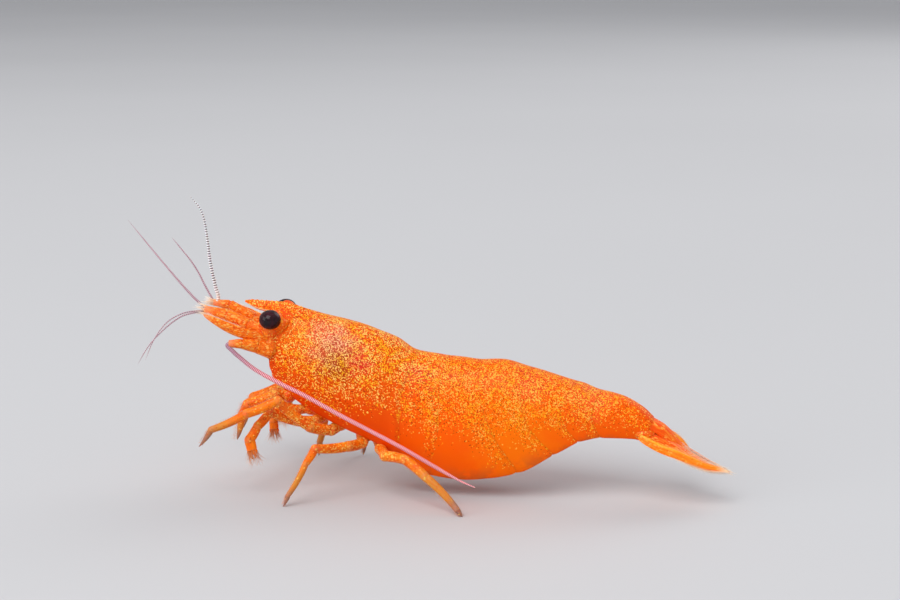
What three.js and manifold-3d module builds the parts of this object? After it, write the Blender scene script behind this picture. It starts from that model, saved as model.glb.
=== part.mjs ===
// Dwarf aquarium shrimp, a deep-bodied adult female, standing on her walking legs at life size.
// Millimetres, +Z up. The head points towards -X and the animal's left side faces -Y. The floor is z = 0.
// The trunk is lofted whole from a back line, a belly line and a few stations, then parted into its plates.
// Limbs and feelers are lofted along a route of joints. Every piece is one closed body.
import * as THREE from 'three';
import { mergeVertices } from 'three/addons/utils/BufferGeometryUtils.js';
import Module from 'manifold-3d';

const wasm = await Module();
wasm.setup();

// ---- Driving dimensions -------------------------------------------------------------------------
const GAP = 0.1;                    // clearance between neighbouring pieces
const SIDES = [['left', -1], ['right', 1]];

// Back line and belly line of the trunk, as [x, z], from the brow to the tail.
const BACK_LINE = [
  [-10.3, 10.8], [-9.0, 10.6], [-7.5, 10.25], [-6.0, 9.93], [-4.6, 9.55], [-3.2, 9.02], [-2.0, 8.32],
  [-0.2, 8.08], [1.8, 7.93], [3.4, 7.93], [4.6, 7.65], [6.0, 7.25], [7.4, 6.9], [8.7, 6.48], [9.6, 6.28],
  [10.4, 6.04], [11.3, 5.55], [12.0, 4.92],
];
const BELLY_LINE = [
  [-10.8, 6.95], [-9.3, 5.5], [-6.9, 4.18], [-4.4, 3.15], [-3.2, 2.5], [-2.1, 1.75], [-0.9, 1.3],
  [0.6, 1.15], [2.1, 1.25], [4.4, 1.75], [6.1, 2.75], [7.9, 3.75], [9.2, 3.95], [10.8, 3.9], [11.6, 3.6],
];

// Stations of the trunk: where each starts on the back and on the belly, its half width and how far
// its middle bows towards the head. Plates part at whole numbers along this list.
const STATIONS = [
  { back: -10.2, belly: -10.6, half: 1.25, bow: 0.12 },
  { back: -8.6, belly: -8.9, half: 1.65, bow: 0.0 },
  { back: -6.4, belly: -6.8, half: 1.95, bow: 0.0 },
  { back: -4.2, belly: -4.7, half: 2.05, bow: 0.15 },
  { back: -2.0, belly: -2.7, half: 2.0, bow: 0.4 },
  { back: -0.2, belly: -0.2, half: 2.0, bow: 0.3 },
  { back: 1.7, belly: 4.2, half: 2.0, bow: 0.6 },
  { back: 4.6, belly: 6.3, half: 1.85, bow: 1.0 },
  { back: 7.3, belly: 7.7, half: 1.6, bow: 0.9 },
  { back: 8.7, belly: 8.9, half: 1.35, bow: 0.5 },
  { back: 11.9, belly: 11.4, half: 0.85, bow: 0.0 },
];
const CARAPACE_END = 4;             // station where the carapace ends and the abdomen starts
const PARTING = 0.025;              // half the cut between two plates, in stations
const WIDEST = 0.45;                // height of the widest place, as a share of the section's height
const MARGIN = 0.76;                // half width at the lower margin, as a share of the widest
const RIM = 0.34;                   // thickness of the side plates at their lower margin

// Height of the hollow under the trunk, as a share of the section's height, by station.
const HOLLOW = [[0, 0.18], [3, 0.2], [5, 0.3], [8, 0.28], [9, 0.08], [10, 0.05]];
const HOLLOW_TAPER = 0.85;          // width of its roof, as a share of the width at its mouth

// Keel under the thorax: [x, half width], and how far its middle stands above the belly line.
const STERNUM = [[-10.0, 0.5], [-8.5, 0.72], [-6.8, 0.72], [-5.2, 0.72], [-3.9, 0.72]];
const STERNUM_LIFT = 0.32;

const EYE = { at: [-10.35, 1.6, 10.14], radius: 0.65 };
const STALK_RADIUS = 0.4;
const FEELER_RADIUS = 0.26;         // thinnest any feeler is made
const PADDLE_HALF = 0.4;            // half width of a swimmeret
const PADDLE_DROP = 0.35;           // how far it starts below the roof of the hollow

// Head pieces, as [x, y, z, radius] of each joint, laid out on the right side: the antennule's stem, the
// antenna's stout base and its flat scale. The left stem is held a little lower than the right one.
const STEMS = {
  left: [[-11.5, 0.66, 9.32, 0.32], [-12.0, 0.62, 9.52, 0.36], [-13.3, 0.56, 10.06, 0.35], [-14.7, 0.5, 10.32, 0.25]],
  right: [[-11.5, 0.65, 9.35, 0.32], [-12.05, 0.6, 9.63, 0.36], [-13.5, 0.53, 10.45, 0.3], [-14.5, 0.5, 10.56, 0.25]],
};
const ANTENNA_BASE = [
  [-10.9, 1.38, 8.25, 0.44], [-11.3, 1.54, 8.46, 0.41], [-12.0, 1.9, 8.7, 0.32], [-12.75, 2.1, 8.72, 0.26],
];
const SCALE = [
  [-11.2, 1.25, 8.93, 0.45], [-11.7, 1.35, 9.12, 0.58], [-12.5, 1.5, 9.42, 0.62], [-13.13, 1.58, 9.7, 0.54],
  [-13.73, 1.6, 9.98, 0.42], [-14.3, 1.57, 10.24, 0.3],
];
const SCALE_TILT = 0.75;            // how far a scale leans out, in radians
const BROW = [[-10.3, 0, 9.25, 0.75], [-10.8, 0, 9.4, 0.72], [-11.2, 0, 9.6, 0.5]];

// Rostrum, the short beak: [x, half width, lower edge, upper edge].
const BEAK = [
  [-10.3, 0.42, 10.4, 10.89], [-11.0, 0.3, 10.3, 10.91],
  [-11.6, 0.26, 10.4, 10.93], [-12.05, 0.2, 10.6, 10.94], [-12.36, 0.12, 10.74, 10.9],
];

// Tail fan: the telson in the middle, and the right side's two blades that lie nearly closed against it.
const TELSON = [
  [12.05, 0, 4.32, 0.66], [12.5, 0, 3.97, 0.62], [13.1, 0, 3.36, 0.54], [13.74, 0, 2.86, 0.44],
  [14.4, 0, 2.5, 0.34], [15.0, 0, 2.24, 0.26],
];
const INNER_BLADE = [
  [12.2, 0.96, 3.85, 0.25], [13.0, 0.87, 3.45, 0.26], [13.8, 0.76, 3.0, 0.26], [14.4, 0.68, 2.7, 0.26],
  [15.2, 0.54, 2.36, 0.25], [15.9, 0.34, 2.14, 0.25],
];
// The right outer blade is held a little raised, with its tip curled down beside the others.
const OUTER_BLADES = {
  left: [
    [11.5, 1.3, 3.9, 0.3], [12.1, 1.45, 3.68, 0.3], [13.3, 1.48, 3.25, 0.32], [14.2, 1.32, 2.84, 0.3],
    [15.0, 1.12, 2.5, 0.27], [15.8, 0.95, 2.28, 0.25],
  ],
  right: [
    [11.5, 1.3, 4.05, 0.3], [12.1, 1.47, 3.95, 0.32], [12.9, 1.57, 3.65, 0.36], [13.4, 1.56, 3.22, 0.34],
    [13.8, 1.53, 2.8, 0.3], [14.15, 1.5, 2.4, 0.26],
  ],
};

// The left antenna's feeler turns back and trails down the flank. The right one reaches forward.
const TRAILING = [
  [-12.85, -2.1, 8.7], [-12.7, -2.15, 8.35], [-12.05, -2.2, 8.05], [-11.1, -2.3, 7.3], [-9.65, -2.45, 6.6],
  [-8.1, -2.55, 5.95], [-6.0, -2.7, 4.95], [-4.8, -2.75, 4.4], [-2.4, -2.85, 3.3], [-1.15, -3.0, 2.7],
  [0.05, -3.2, 2.15], [1.25, -3.45, 1.65], [2.15, -3.7, 1.4],
];
const REACHING = [
  [-12.9, 2.12, 8.66], [-13.9, 2.25, 8.95], [-15.1, 2.35, 9.4], [-16.14, 2.45, 10.1], [-16.97, 2.65, 10.79],
  [-18.49, 3.2, 12.15], [-19.5, 3.8, 12.95], [-21.8, 5.6, 14.5],
];

// Joints of each limb, from its root beside the sternum to its tip: [x, y, z, radius].
const LIMBS = {
  maxilliped_left: [
    [-9.5, -0.8, 5.2, 0.3], [-10.2, -1.4, 5.5, 0.32], [-11.75, -1.9, 5.05, 0.32], [-12.1, -2.0, 4.4, 0.28],
    [-12.4, -2.1, 2.9, 0.25],
  ],
  maxilliped_right: [
    [-9.5, 0.8, 5.2, 0.3], [-10.6, 1.45, 5.4, 0.33], [-12.55, 1.65, 4.5, 0.3], [-13.0, 1.7, 3.6, 0.26],
    [-13.4, 1.7, 2.3, 0.25],
  ],
  leg_1_left: [
    [-8.2, -0.8, 4.6, 0.3], [-8.8, -1.35, 4.7, 0.32], [-9.8, -1.95, 4.95, 0.3], [-10.15, -2.15, 4.15, 0.27],
    [-10.05, -2.25, 3.2, 0.28],
  ],
  leg_1_right: [
    [-8.2, 0.8, 4.6, 0.3], [-8.8, 1.35, 4.7, 0.32], [-9.9, 1.95, 5.0, 0.3], [-10.5, 2.1, 4.1, 0.27],
    [-10.6, 2.2, 2.95, 0.3],
  ],
  leg_2_left: [
    [-7.45, -0.8, 4.15, 0.31], [-7.8, -1.5, 4.0, 0.33], [-8.7, -2.2, 4.25, 0.34], [-10.05, -3.0, 5.0, 0.3],
    [-10.7, -3.4, 4.2, 0.28], [-11.15, -3.6, 3.4, 0.32], [-10.85, -3.7, 2.3, 0.28],
  ],
  leg_2_right: [
    [-7.4, 0.8, 4.15, 0.31], [-7.8, 1.5, 4.0, 0.33], [-8.9, 2.3, 4.5, 0.33], [-10.3, 2.9, 5.3, 0.3],
    [-11.0, 3.1, 4.5, 0.28], [-11.4, 3.2, 3.7, 0.32], [-11.3, 3.3, 2.5, 0.28],
  ],
  leg_3_left: [
    [-6.45, -0.8, 3.7, 0.32], [-6.8, -1.6, 3.55, 0.34], [-7.8, -2.6, 4.1, 0.35], [-9.4, -3.6, 5.85, 0.31],
    [-11.1, -4.2, 5.15, 0.29], [-13.1, -4.6, 4.2, 0.26], [-13.85, -4.7, 3.15, 0.25],
  ],
  leg_3_right: [
    [-6.45, 0.8, 3.7, 0.32], [-6.8, 1.6, 3.6, 0.34], [-7.4, 2.5, 4.05, 0.35], [-8.2, 3.5, 4.6, 0.32],
    [-8.6, 3.9, 3.5, 0.29], [-9.2, 4.5, 1.0, 0.26], [-9.35, 4.7, 0, 0.25],
  ],
  leg_4_left: [
    [-5.0, -0.8, 3.05, 0.32], [-4.9, -1.6, 2.85, 0.34], [-5.5, -2.8, 3.1, 0.35], [-7.05, -4.2, 3.3, 0.3],
    [-7.5, -4.6, 2.5, 0.29], [-8.45, -5.0, 0.7, 0.26], [-8.75, -5.1, 0, 0.25],
  ],
  leg_4_right: [
    [-5.0, 0.8, 3.05, 0.32], [-4.9, 1.6, 2.85, 0.34], [-5.3, 2.8, 3.6, 0.35], [-5.8, 4.0, 3.8, 0.3],
    [-6.1, 4.5, 2.6, 0.29], [-6.5, 5.2, 0.8, 0.26], [-6.65, 5.4, 0, 0.25],
  ],
  leg_5_left: [
    [-3.95, -0.8, 2.6, 0.31], [-3.85, -1.6, 2.4, 0.33], [-3.3, -2.7, 2.55, 0.34], [-1.9, -3.6, 2.75, 0.3],
    [-0.65, -4.1, 2.0, 0.29], [1.3, -4.75, 0.4, 0.26], [1.65, -4.85, 0, 0.25],
  ],
  leg_5_right: [
    [-3.95, 0.8, 2.6, 0.31], [-3.9, 1.6, 2.4, 0.33], [-3.1, 2.8, 3.05, 0.34], [-1.8, 3.8, 3.3, 0.3],
    [-0.6, 4.4, 2.0, 0.29], [0.6, 5.1, 0.5, 0.26], [0.9, 5.2, 0, 0.25],
  ],
};

// ---- Colours and finishes -----------------------------------------------------------------------
const finish = (color, roughness) => new THREE.MeshStandardMaterial({ color, roughness, metalness: 0 });
const SHELL = finish(0xf06414, 0.35);
const LIMB = finish(0xf0801e, 0.4);
const PALE = finish(0xf0b4a0, 0.4);
const EYE_BLACK = finish(0x140a0a, 0.1);
const SOFT = finish(0xe66a1e, 0.5);

const shrimp = new THREE.Group();

function add(name, geometry, material) {
  const mesh = new THREE.Mesh(geometry, material);
  mesh.name = name;
  shrimp.add(mesh);
}

// ---- Lofting and carving ------------------------------------------------------------------------
const vec = (p) => new THREE.Vector3(p[0], p[1], p[2]);

// Triangles that close one ring, wound the way the ring runs.
function capFaces(ring) {
  const normal = new THREE.Vector3();
  ring.forEach((p, k) => normal.add(p.clone().cross(ring[(k + 1) % ring.length])));
  normal.normalize();
  const u = ring[1].clone().sub(ring[0]).projectOnPlane(normal).normalize();
  const v = normal.clone().cross(u);
  const flat = ring.map((p) => new THREE.Vector2(p.dot(u), p.dot(v)));
  return THREE.ShapeUtils.triangulateShape(flat, []).map(([a, b, c]) => {
    const turn = flat[b].clone().sub(flat[a]).cross(flat[c].clone().sub(flat[a]));
    return turn > 0 ? [a, b, c] : [a, c, b];
  });
}

// A closed body through rings of equal length, which run anticlockwise seen from the last ring's side.
function loft(rings) {
  const across = rings[0].length;
  const last = (rings.length - 1) * across;
  const faces = [];
  for (let r = 0; r < last; r += across) {
    for (let k = 0; k < across; k++) {
      const a = r + k;
      const b = r + ((k + 1) % across);
      faces.push(a, b, b + across, a, b + across, a + across);
    }
  }
  for (const [a, b, c] of capFaces(rings[0])) faces.push(a, c, b);
  for (const [a, b, c] of capFaces(rings[rings.length - 1])) faces.push(last + a, last + b, last + c);
  const geometry = new THREE.BufferGeometry();
  const places = rings.flat().flatMap((p) => [p.x, p.y, p.z]);
  geometry.setAttribute('position', new THREE.Float32BufferAttribute(places, 3));
  geometry.setIndex(faces);
  return geometry;
}

function solid(geometry) {
  const bare = geometry.clone();
  for (const name of ['normal', 'uv']) bare.deleteAttribute(name);
  const merged = mergeVertices(bare, 1e-4);
  return new wasm.Manifold(new wasm.Mesh({
    numProp: 3,
    vertProperties: new Float32Array(merged.attributes.position.array),
    triVerts: new Uint32Array(merged.index.array),
  }));
}

function geometryOf(made) {
  const mesh = made.getMesh();
  const geometry = new THREE.BufferGeometry();
  geometry.setAttribute('position', new THREE.BufferAttribute(new Float32Array(mesh.vertProperties), 3));
  geometry.setIndex(Array.from(mesh.triVerts));
  return geometry;
}

// Cuts every cutter out of a body, for a socket round a neighbour.
function carve(geometry, ...cutters) {
  let left = solid(geometry);
  for (const cutter of cutters) left = left.subtract(solid(cutter));
  return geometryOf(left);
}

function ball(at, radius) {
  const sphere = new THREE.SphereGeometry(radius, 16, 12);
  sphere.translate(at[0], at[1], at[2]);
  return sphere;
}

// Smooth height of an outline at x, by a cubic through its points.
function heightAt(line, x) {
  let i = 0;
  while (i < line.length - 2 && x > line[i + 1][0]) i++;
  const slope = (j) => {
    const before = line[Math.max(j - 1, 0)];
    const after = line[Math.min(j + 1, line.length - 1)];
    return (after[1] - before[1]) / (after[0] - before[0]);
  };
  const [x0, z0] = line[i];
  const [x1, z1] = line[i + 1];
  const span = x1 - x0;
  const t = THREE.MathUtils.clamp((x - x0) / span, 0, 1);
  const lead = slope(i) * span;
  const trail = slope(i + 1) * span;
  const rise = z1 - z0;
  return z0 + t * lead + t * t * (3 * rise - 2 * lead - trail) + t * t * t * (lead + trail - 2 * rise);
}

// ---- Trunk --------------------------------------------------------------------------------------
// A value of the stations at s, smooth from station to station.
function stationValue(key, s) {
  return heightAt(STATIONS.map((station, i) => [i, station[key]]), s);
}

// A point of the trunk: s along the stations, high from 0 at the belly to 1 at the back, out from the middle.
function trunkPoint(s, high, out) {
  const back = stationValue('back', s);
  const belly = stationValue('belly', s);
  const x = belly + (back - belly) * high - 4 * stationValue('bow', s) * high * (1 - high);
  const low = heightAt(BELLY_LINE, belly);
  return new THREE.Vector3(x, out, low + (heightAt(BACK_LINE, back) - low) * high);
}

// Half width of the trunk at a height, from a rounded back to side plates that tuck in at the margin.
function trunkHalf(s, high) {
  const half = stationValue('half', s);
  if (high >= WIDEST) {
    const up = (high - WIDEST) / (1 - WIDEST);
    return half * Math.pow(Math.max(1 - Math.pow(up, 2.1), 0), 1 / 2.1);
  }
  const down = (WIDEST - high) / WIDEST;
  return half * (MARGIN + (1 - MARGIN) * Math.sqrt(Math.max(1 - down * down, 0)));
}

// One ring of the trunk: round the outside from margin to margin, then back through the hollow below.
function trunkRing(s) {
  const outside = [0, 0.1, 0.25, 0.45, 0.62, 0.77, 0.89, 0.97];
  const inner = trunkHalf(s, 0) - RIM;
  const deep = heightAt(HOLLOW, s);
  const ring = [];
  for (const high of outside) ring.push(trunkPoint(s, high, trunkHalf(s, high)));
  ring.push(trunkPoint(s, 1, 0));
  for (const high of [...outside].reverse()) ring.push(trunkPoint(s, high, -trunkHalf(s, high)));
  ring.push(trunkPoint(s, 0.02, -inner), trunkPoint(s, deep, -inner * HOLLOW_TAPER));
  ring.push(trunkPoint(s, deep, inner * HOLLOW_TAPER), trunkPoint(s, 0.02, inner));
  return ring;
}

function trunkLength(from, to, steps) {
  const rings = [];
  for (let i = 0; i <= steps; i++) rings.push(trunkRing(THREE.MathUtils.lerp(from, to, i / steps)));
  return loft(rings);
}

// ---- Limbs and feelers --------------------------------------------------------------------------
// Rings along a route of [x, y, z, radius], mitred at the joints. flat is thickness over width, and tilt
// turns a flat ring about the route.
function limbRings(route, sides, flat = 1, swell = 0, tilt = 0) {
  const points = route.map(vec);
  const rings = [];
  let across = new THREE.Vector3(0, 1, 0);
  route.forEach((row, i) => {
    const ahead = points[Math.min(i + 1, points.length - 1)].clone().sub(points[i]).normalize();
    const behind = points[i].clone().sub(points[Math.max(i - 1, 0)]).normalize();
    const along = ahead.add(behind).normalize();
    const side = across.clone().sub(along.clone().multiplyScalar(across.dot(along))).normalize();
    const up = along.clone().cross(side);
    across = side;
    const ring = [];
    for (let k = 0; k < sides; k++) {
      const a = 2 * Math.PI * k / sides;
      const r = row[3] + swell;
      const wide = r * Math.cos(a);
      const deep = r * flat * Math.sin(a);
      ring.push(points[i].clone()
        .add(side.clone().multiplyScalar(wide * Math.cos(tilt) - deep * Math.sin(tilt)))
        .add(up.clone().multiplyScalar(wide * Math.sin(tilt) + deep * Math.cos(tilt))));
    }
    rings.push(ring);
  });
  return rings;
}

// The same route with a slimmer waist at every joint, as a jointed leg has.
function jointed(route) {
  const full = [];
  route.forEach((row, i) => {
    if (i > 0) {
      const last = route[i - 1];
      for (const t of [0.28, 0.72]) {
        const mixed = row.map((value, k) => last[k] + (value - last[k]) * t);
        mixed[3] *= 1.12;
        full.push(mixed);
      }
    }
    full.push(row);
  });
  return full;
}

const mirrored = (route, side) => route.map(([x, y, z, r]) => [x, y * side, z, r]);

// A leg whose last joint is at floor level ends in a small flat, level with the floor.
function leg(name, route) {
  const tip = route[route.length - 1];
  if (tip[2] > 0) {
    add(name, loft(limbRings(jointed(route), 8)), LIMB);
    return;
  }
  const rings = limbRings([...jointed(route.slice(0, -1)), tip], 8);
  for (const p of rings[rings.length - 1]) {
    const out = new THREE.Vector2(p.x - tip[0], p.y - tip[1]).setLength(tip[3]);
    p.set(tip[0] + out.x, tip[1] + out.y, 0);
  }
  add(name, loft(rings), LIMB);
}

const alongCurve = (points) => limbRings(points.map((p) => [p.x, p.y, p.z, FEELER_RADIUS]), 6);

function feeler(name, route, steps) {
  add(name, loft(alongCurve(new THREE.CatmullRomCurve3(route.map(vec)).getSpacedPoints(steps))), PALE);
}

// A long feeler in several lengths, with a gap at each parting and a socket round the antenna's base.
function feelerLengths(name, route, lengths, steps, way) {
  const points = new THREE.CatmullRomCurve3(route.map(vec)).getSpacedPoints(lengths * steps);
  const socket = loft(limbRings(mirrored(ANTENNA_BASE, way), 8, 1, GAP));
  for (let part = 0; part < lengths; part++) {
    const span = points.slice(part * steps, (part + 1) * steps + 1).map((p) => p.clone());
    const on = span[1].clone().sub(span[0]).setLength(GAP);
    if (part > 0) span[0].add(on);
    add(`${name}_${part + 1}`, carve(loft(alongCurve(span)), socket), PALE);
  }
}

// ---- Carapace and abdomen -----------------------------------------------------------------------
const LAST = STATIONS.length - 1;
const eyeAt = (way) => [EYE.at[0], EYE.at[1] * way, EYE.at[2]];
const carapace = trunkLength(0, CARAPACE_END - PARTING, 16);
add('carapace', carve(carapace, ...SIDES.map(([, way]) => ball(eyeAt(way), EYE.radius + GAP))), SHELL);
for (let s = CARAPACE_END; s < LAST; s++) {
  add(`abdomen_${s - CARAPACE_END + 1}`, trunkLength(s + PARTING, s + 1 - PARTING, 5), SHELL);
}

// Underside of the thorax: the keel that the legs hang from, in the hollow of the carapace.
const sternum = STERNUM.map(([x, half]) => [x, 0, heightAt(BELLY_LINE, x) + STERNUM_LIFT, half]);
add('sternum', loft(limbRings(sternum, 10, 0.6)), SOFT);

// ---- Head ---------------------------------------------------------------------------------------
// Brow between the eyes, under the rostrum.
const behind = carapace.clone().translate(-GAP, 0, 0);
add('brow', carve(loft(limbRings(BROW, 12)), behind), SOFT);

// Rostrum: a narrow blade that runs forward from the back line.
const beakRings = BEAK.map(([x, half, low, high]) => {
  const ring = [];
  for (let k = 0; k < 8; k++) {
    const a = -2 * Math.PI * k / 8;
    ring.push(new THREE.Vector3(x, half * Math.cos(a), (low + high) / 2 + (high - low) / 2 * Math.sin(a)));
  }
  return ring;
});
add('rostrum', loft(beakRings), SHELL);

for (const [side, way] of SIDES) {
  add(`eye_${side}`, ball(eyeAt(way), EYE.radius), EYE_BLACK);
  const stalk = [[-10.8, 0.62 * way, 9.75, STALK_RADIUS], [...eyeAt(way), STALK_RADIUS]];
  const round = [ball(eyeAt(way), EYE.radius + GAP), loft(limbRings(BROW, 12, 1, GAP)), behind];
  add(`eyestalk_${side}`, carve(loft(limbRings(stalk, 8)), ...round), SOFT);

  // Antennule: a three-jointed stem that carries two feelers.
  const stem = jointed(mirrored(STEMS[side], way));
  add(`antennule_${side}`, loft(limbRings(stem, 8)), LIMB);

  // Antenna: a stout base with a flat oval scale above it and the long feeler beyond.
  const base = mirrored(ANTENNA_BASE, way);
  add(`antenna_base_${side}`, loft(limbRings(base, 8)), LIMB);
  const beside = [loft(limbRings(stem, 8, 1, GAP)), loft(limbRings(base, 8, 1, GAP))];
  const scale = loft(limbRings(mirrored(SCALE, way), 8, 0.48, 0, -SCALE_TILT * way));
  add(`antenna_scale_${side}`, carve(scale, ...beside), LIMB);
}

// ---- Feelers ------------------------------------------------------------------------------------
// Each antennule carries an outer and an inner feeler.
feeler('antennule_outer_left', [
  [-15.05, -0.2, 10.3], [-16.2, -0.4, 9.85], [-17.4, -0.75, 8.9], [-18.2, -0.9, 8.0], [-18.9, -0.9, 6.9],
], 7);
feeler('antennule_inner_left', [
  [-15.05, -0.86, 10.35], [-15.9, -1.25, 10.18], [-16.7, -1.6, 9.7], [-17.4, -2.0, 8.7], [-17.9, -2.2, 7.5],
], 8);
feeler('antennule_outer_right', [
  [-14.24, 0.5, 11.02], [-14.35, 0.48, 11.53], [-14.59, 0.4, 12.96], [-14.7, 0.3, 14.38], [-14.79, 0.2, 15.39],
  [-15.1, 0.1, 16.39], [-15.56, 0, 16.99],
], 8);
feeler('antennule_inner_right', [
  [-14.9, 0.72, 11.1], [-15.52, 0.9, 12.22], [-16.02, 1.0, 12.93], [-16.6, 1.1, 13.57], [-17.24, 1.2, 14.27],
], 6);

feelerLengths('antenna_left', TRAILING, 3, 10, -1);
feelerLengths('antenna_right', REACHING, 2, 8, 1);

// ---- Mouth limbs and legs -----------------------------------------------------------------------
for (const [name, route] of Object.entries(LIMBS)) leg(name, route);

// ---- Swimmerets ---------------------------------------------------------------------------------
// Five pairs of paddles hang in the hollow between the side plates and lean back.
for (let pair = 1; pair <= 5; pair++) {
  const s = CARAPACE_END + pair - 0.5;
  const roof = trunkPoint(s, heightAt(HOLLOW, s), 0);
  const drop = 0.8 * (roof.z - heightAt(BELLY_LINE, roof.x));
  const top = roof.z - PADDLE_DROP;
  for (const [side, way] of SIDES) {
    const y = way * (PADDLE_HALF + GAP);
    add(`swimmeret_${pair}_${side}`, loft(limbRings([
      [roof.x, y, top, 0.26], [roof.x + 0.35 * drop, y, top - 0.45 * drop, PADDLE_HALF],
      [roof.x + 0.8 * drop, y, top - 0.75 * drop, 0.26],
    ], 8, 0.66)), LIMB);
  }
}

// ---- Tail fan -----------------------------------------------------------------------------------
add('telson', loft(limbRings(TELSON, 10, 0.8)), SHELL);
for (const [side, way] of SIDES) {
  add(`uropod_inner_${side}`, loft(limbRings(mirrored(INNER_BLADE, way), 8, 0.9)), SHELL);
  add(`uropod_outer_${side}`, loft(limbRings(mirrored(OUTER_BLADES[side], way), 8, 0.8)), SHELL);
}

// The origin is the middle of the model's floor plan, at floor level.
const middle = new THREE.Box3().setFromObject(shrimp).getCenter(new THREE.Vector3());
shrimp.position.set(-middle.x, -middle.y, 0);

export default shrimp;
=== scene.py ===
# Dwarf aquarium shrimp, a deep-bodied adult female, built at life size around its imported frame.
from math import radians

import bpy
import numpy as np
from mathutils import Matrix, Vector, noise


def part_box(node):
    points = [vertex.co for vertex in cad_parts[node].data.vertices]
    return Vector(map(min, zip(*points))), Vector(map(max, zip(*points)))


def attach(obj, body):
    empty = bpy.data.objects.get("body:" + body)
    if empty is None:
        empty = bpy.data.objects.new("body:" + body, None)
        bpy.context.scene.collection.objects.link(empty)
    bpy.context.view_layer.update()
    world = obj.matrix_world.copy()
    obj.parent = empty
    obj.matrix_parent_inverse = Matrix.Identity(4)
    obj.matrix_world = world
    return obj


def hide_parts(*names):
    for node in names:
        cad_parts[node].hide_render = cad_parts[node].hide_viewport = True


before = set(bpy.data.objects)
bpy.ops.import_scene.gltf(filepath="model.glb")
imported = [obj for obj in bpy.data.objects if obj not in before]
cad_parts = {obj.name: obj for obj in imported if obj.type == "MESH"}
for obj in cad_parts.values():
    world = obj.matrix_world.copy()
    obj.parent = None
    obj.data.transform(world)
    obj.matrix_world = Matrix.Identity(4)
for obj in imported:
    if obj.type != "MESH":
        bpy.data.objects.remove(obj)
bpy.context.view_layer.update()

# ---- Standing place ------------------------------------------------------------------------------
# Everything is made in the animal's own millimetres: the head points to -X, the left side to -Y, and the
# floor is z = 0. The left eye of the frame shows where that is, and settle() carries a finished piece there.
MM = 0.001
EYE_AT, EYE_RADIUS = (-10.35, 1.6, 10.14), 0.65
eye_low, eye_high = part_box("eye_left")
DATUM = (eye_low + eye_high) / 2 - Vector((EYE_AT[0], -EYE_AT[1], EYE_AT[2])) * MM


def in_frame(point):
    return DATUM + Vector(point) * MM


def settle(piece, slot, *nodes):
    """Brings a piece from the animal's millimetres to its place, and ties it to the frame."""
    mesh = piece.data
    places = np.empty(len(mesh.vertices) * 3)
    mesh.vertices.foreach_get("co", places)
    places = places.reshape(-1, 3) * MM + np.array(DATUM)
    mesh.vertices.foreach_set("co", places.ravel())
    mesh.update()
    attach(piece, "root")
    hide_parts(*nodes)


def put(tree, kind, wires=(), **settings):
    """Adds a node with its settings. Each wire is (input name or number, value or output socket)."""
    node = tree.nodes.new(kind)
    for name, value in settings.items():
        setattr(node, name, value)
    for name, value in dict(wires).items():
        if isinstance(value, bpy.types.NodeSocket):
            tree.links.new(value, node.inputs[name])
        else:
            node.inputs[name].default_value = value
    return node


def plain_material(name, wires=()):
    """A material with one Principled shader, and that shader."""
    material = bpy.data.materials.new(name)
    material.use_nodes = True
    tree = material.node_tree
    tree.nodes.clear()
    shader = put(tree, "ShaderNodeBsdfPrincipled", wires)
    put(tree, "ShaderNodeOutputMaterial", {"Surface": shader.outputs[0]})
    return material, tree, shader


# ---- Floor, light and camera ---------------------------------------------------------------------
# A pale sheet to stand on, three soft lamps and a bright room, and a camera low on the left side.
FLOOR_HALF = 3.0


def show(thing):
    bpy.context.scene.collection.objects.link(thing)


floor_mesh = bpy.data.meshes.new("floor")
corners = [(x * FLOOR_HALF, y * FLOOR_HALF, 0) for x, y in ((-1, -1), (1, -1), (1, 1), (-1, 1))]
floor_mesh.from_pydata(corners, [], [(0, 1, 2, 3)])
floor = bpy.data.objects.new("floor", floor_mesh)
show(floor)
floor_paint, tree, shader = plain_material("floor_paint", {"Roughness": 0.8, "Specular IOR Level": 0.2})
grain = put(tree, "ShaderNodeTexNoise", {"Scale": 40.0, "Detail": 3.0})
greys = {6: (0.55, 0.55, 0.56, 1), 7: (0.60, 0.60, 0.61, 1)}
tint = put(tree, "ShaderNodeMix", {"Factor": grain.outputs[0], **greys}, data_type="RGBA")
tree.links.new(tint.outputs[2], shader.inputs["Base Color"])
floor_mesh.materials.append(floor_paint)

world = bpy.data.worlds.new("room")
bpy.context.scene.world = world
world.use_nodes = True
walls = world.node_tree.nodes["Background"].inputs
walls["Color"].default_value, walls["Strength"].default_value = (0.95, 0.96, 1.0, 1), 0.55
bpy.context.scene.view_settings.view_transform = "Standard"

for name, spot, size, watts in [
    ("lamp_above", (-110, -380, 480), 0.40, 2.35),
    ("lamp_front", (-390, -270, 180), 0.30, 0.7),
    ("lamp_behind", (270, 360, 330), 0.35, 0.8),
]:
    light = bpy.data.lights.new(name, "AREA")
    light.energy, light.size = watts, size
    lamp = bpy.data.objects.new(name, light)
    lamp.location = in_frame(spot)
    lamp.rotation_euler = (in_frame((0, 0, 5)) - lamp.location).to_track_quat("-Z", "Y").to_euler()
    show(lamp)

AIM = Vector((0, 0, 11.4))
CAMERA_TURN, CAMERA_RISE, CAMERA_FAR = radians(11), radians(12), 95
lens = bpy.data.cameras.new("camera")
lens.lens, lens.sensor_width = 65.74, 36
lens.clip_start, lens.clip_end = 0.002, 20
camera = bpy.data.objects.new("camera", lens)
level = np.cos(CAMERA_RISE)
away = Vector((np.sin(CAMERA_TURN) * level, -np.cos(CAMERA_TURN) * level, np.sin(CAMERA_RISE)))
camera.location = in_frame(AIM + away * CAMERA_FAR)
camera.rotation_euler = (-away).to_track_quat("-Z", "Y").to_euler()
show(camera)
bpy.context.scene.camera = camera

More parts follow.
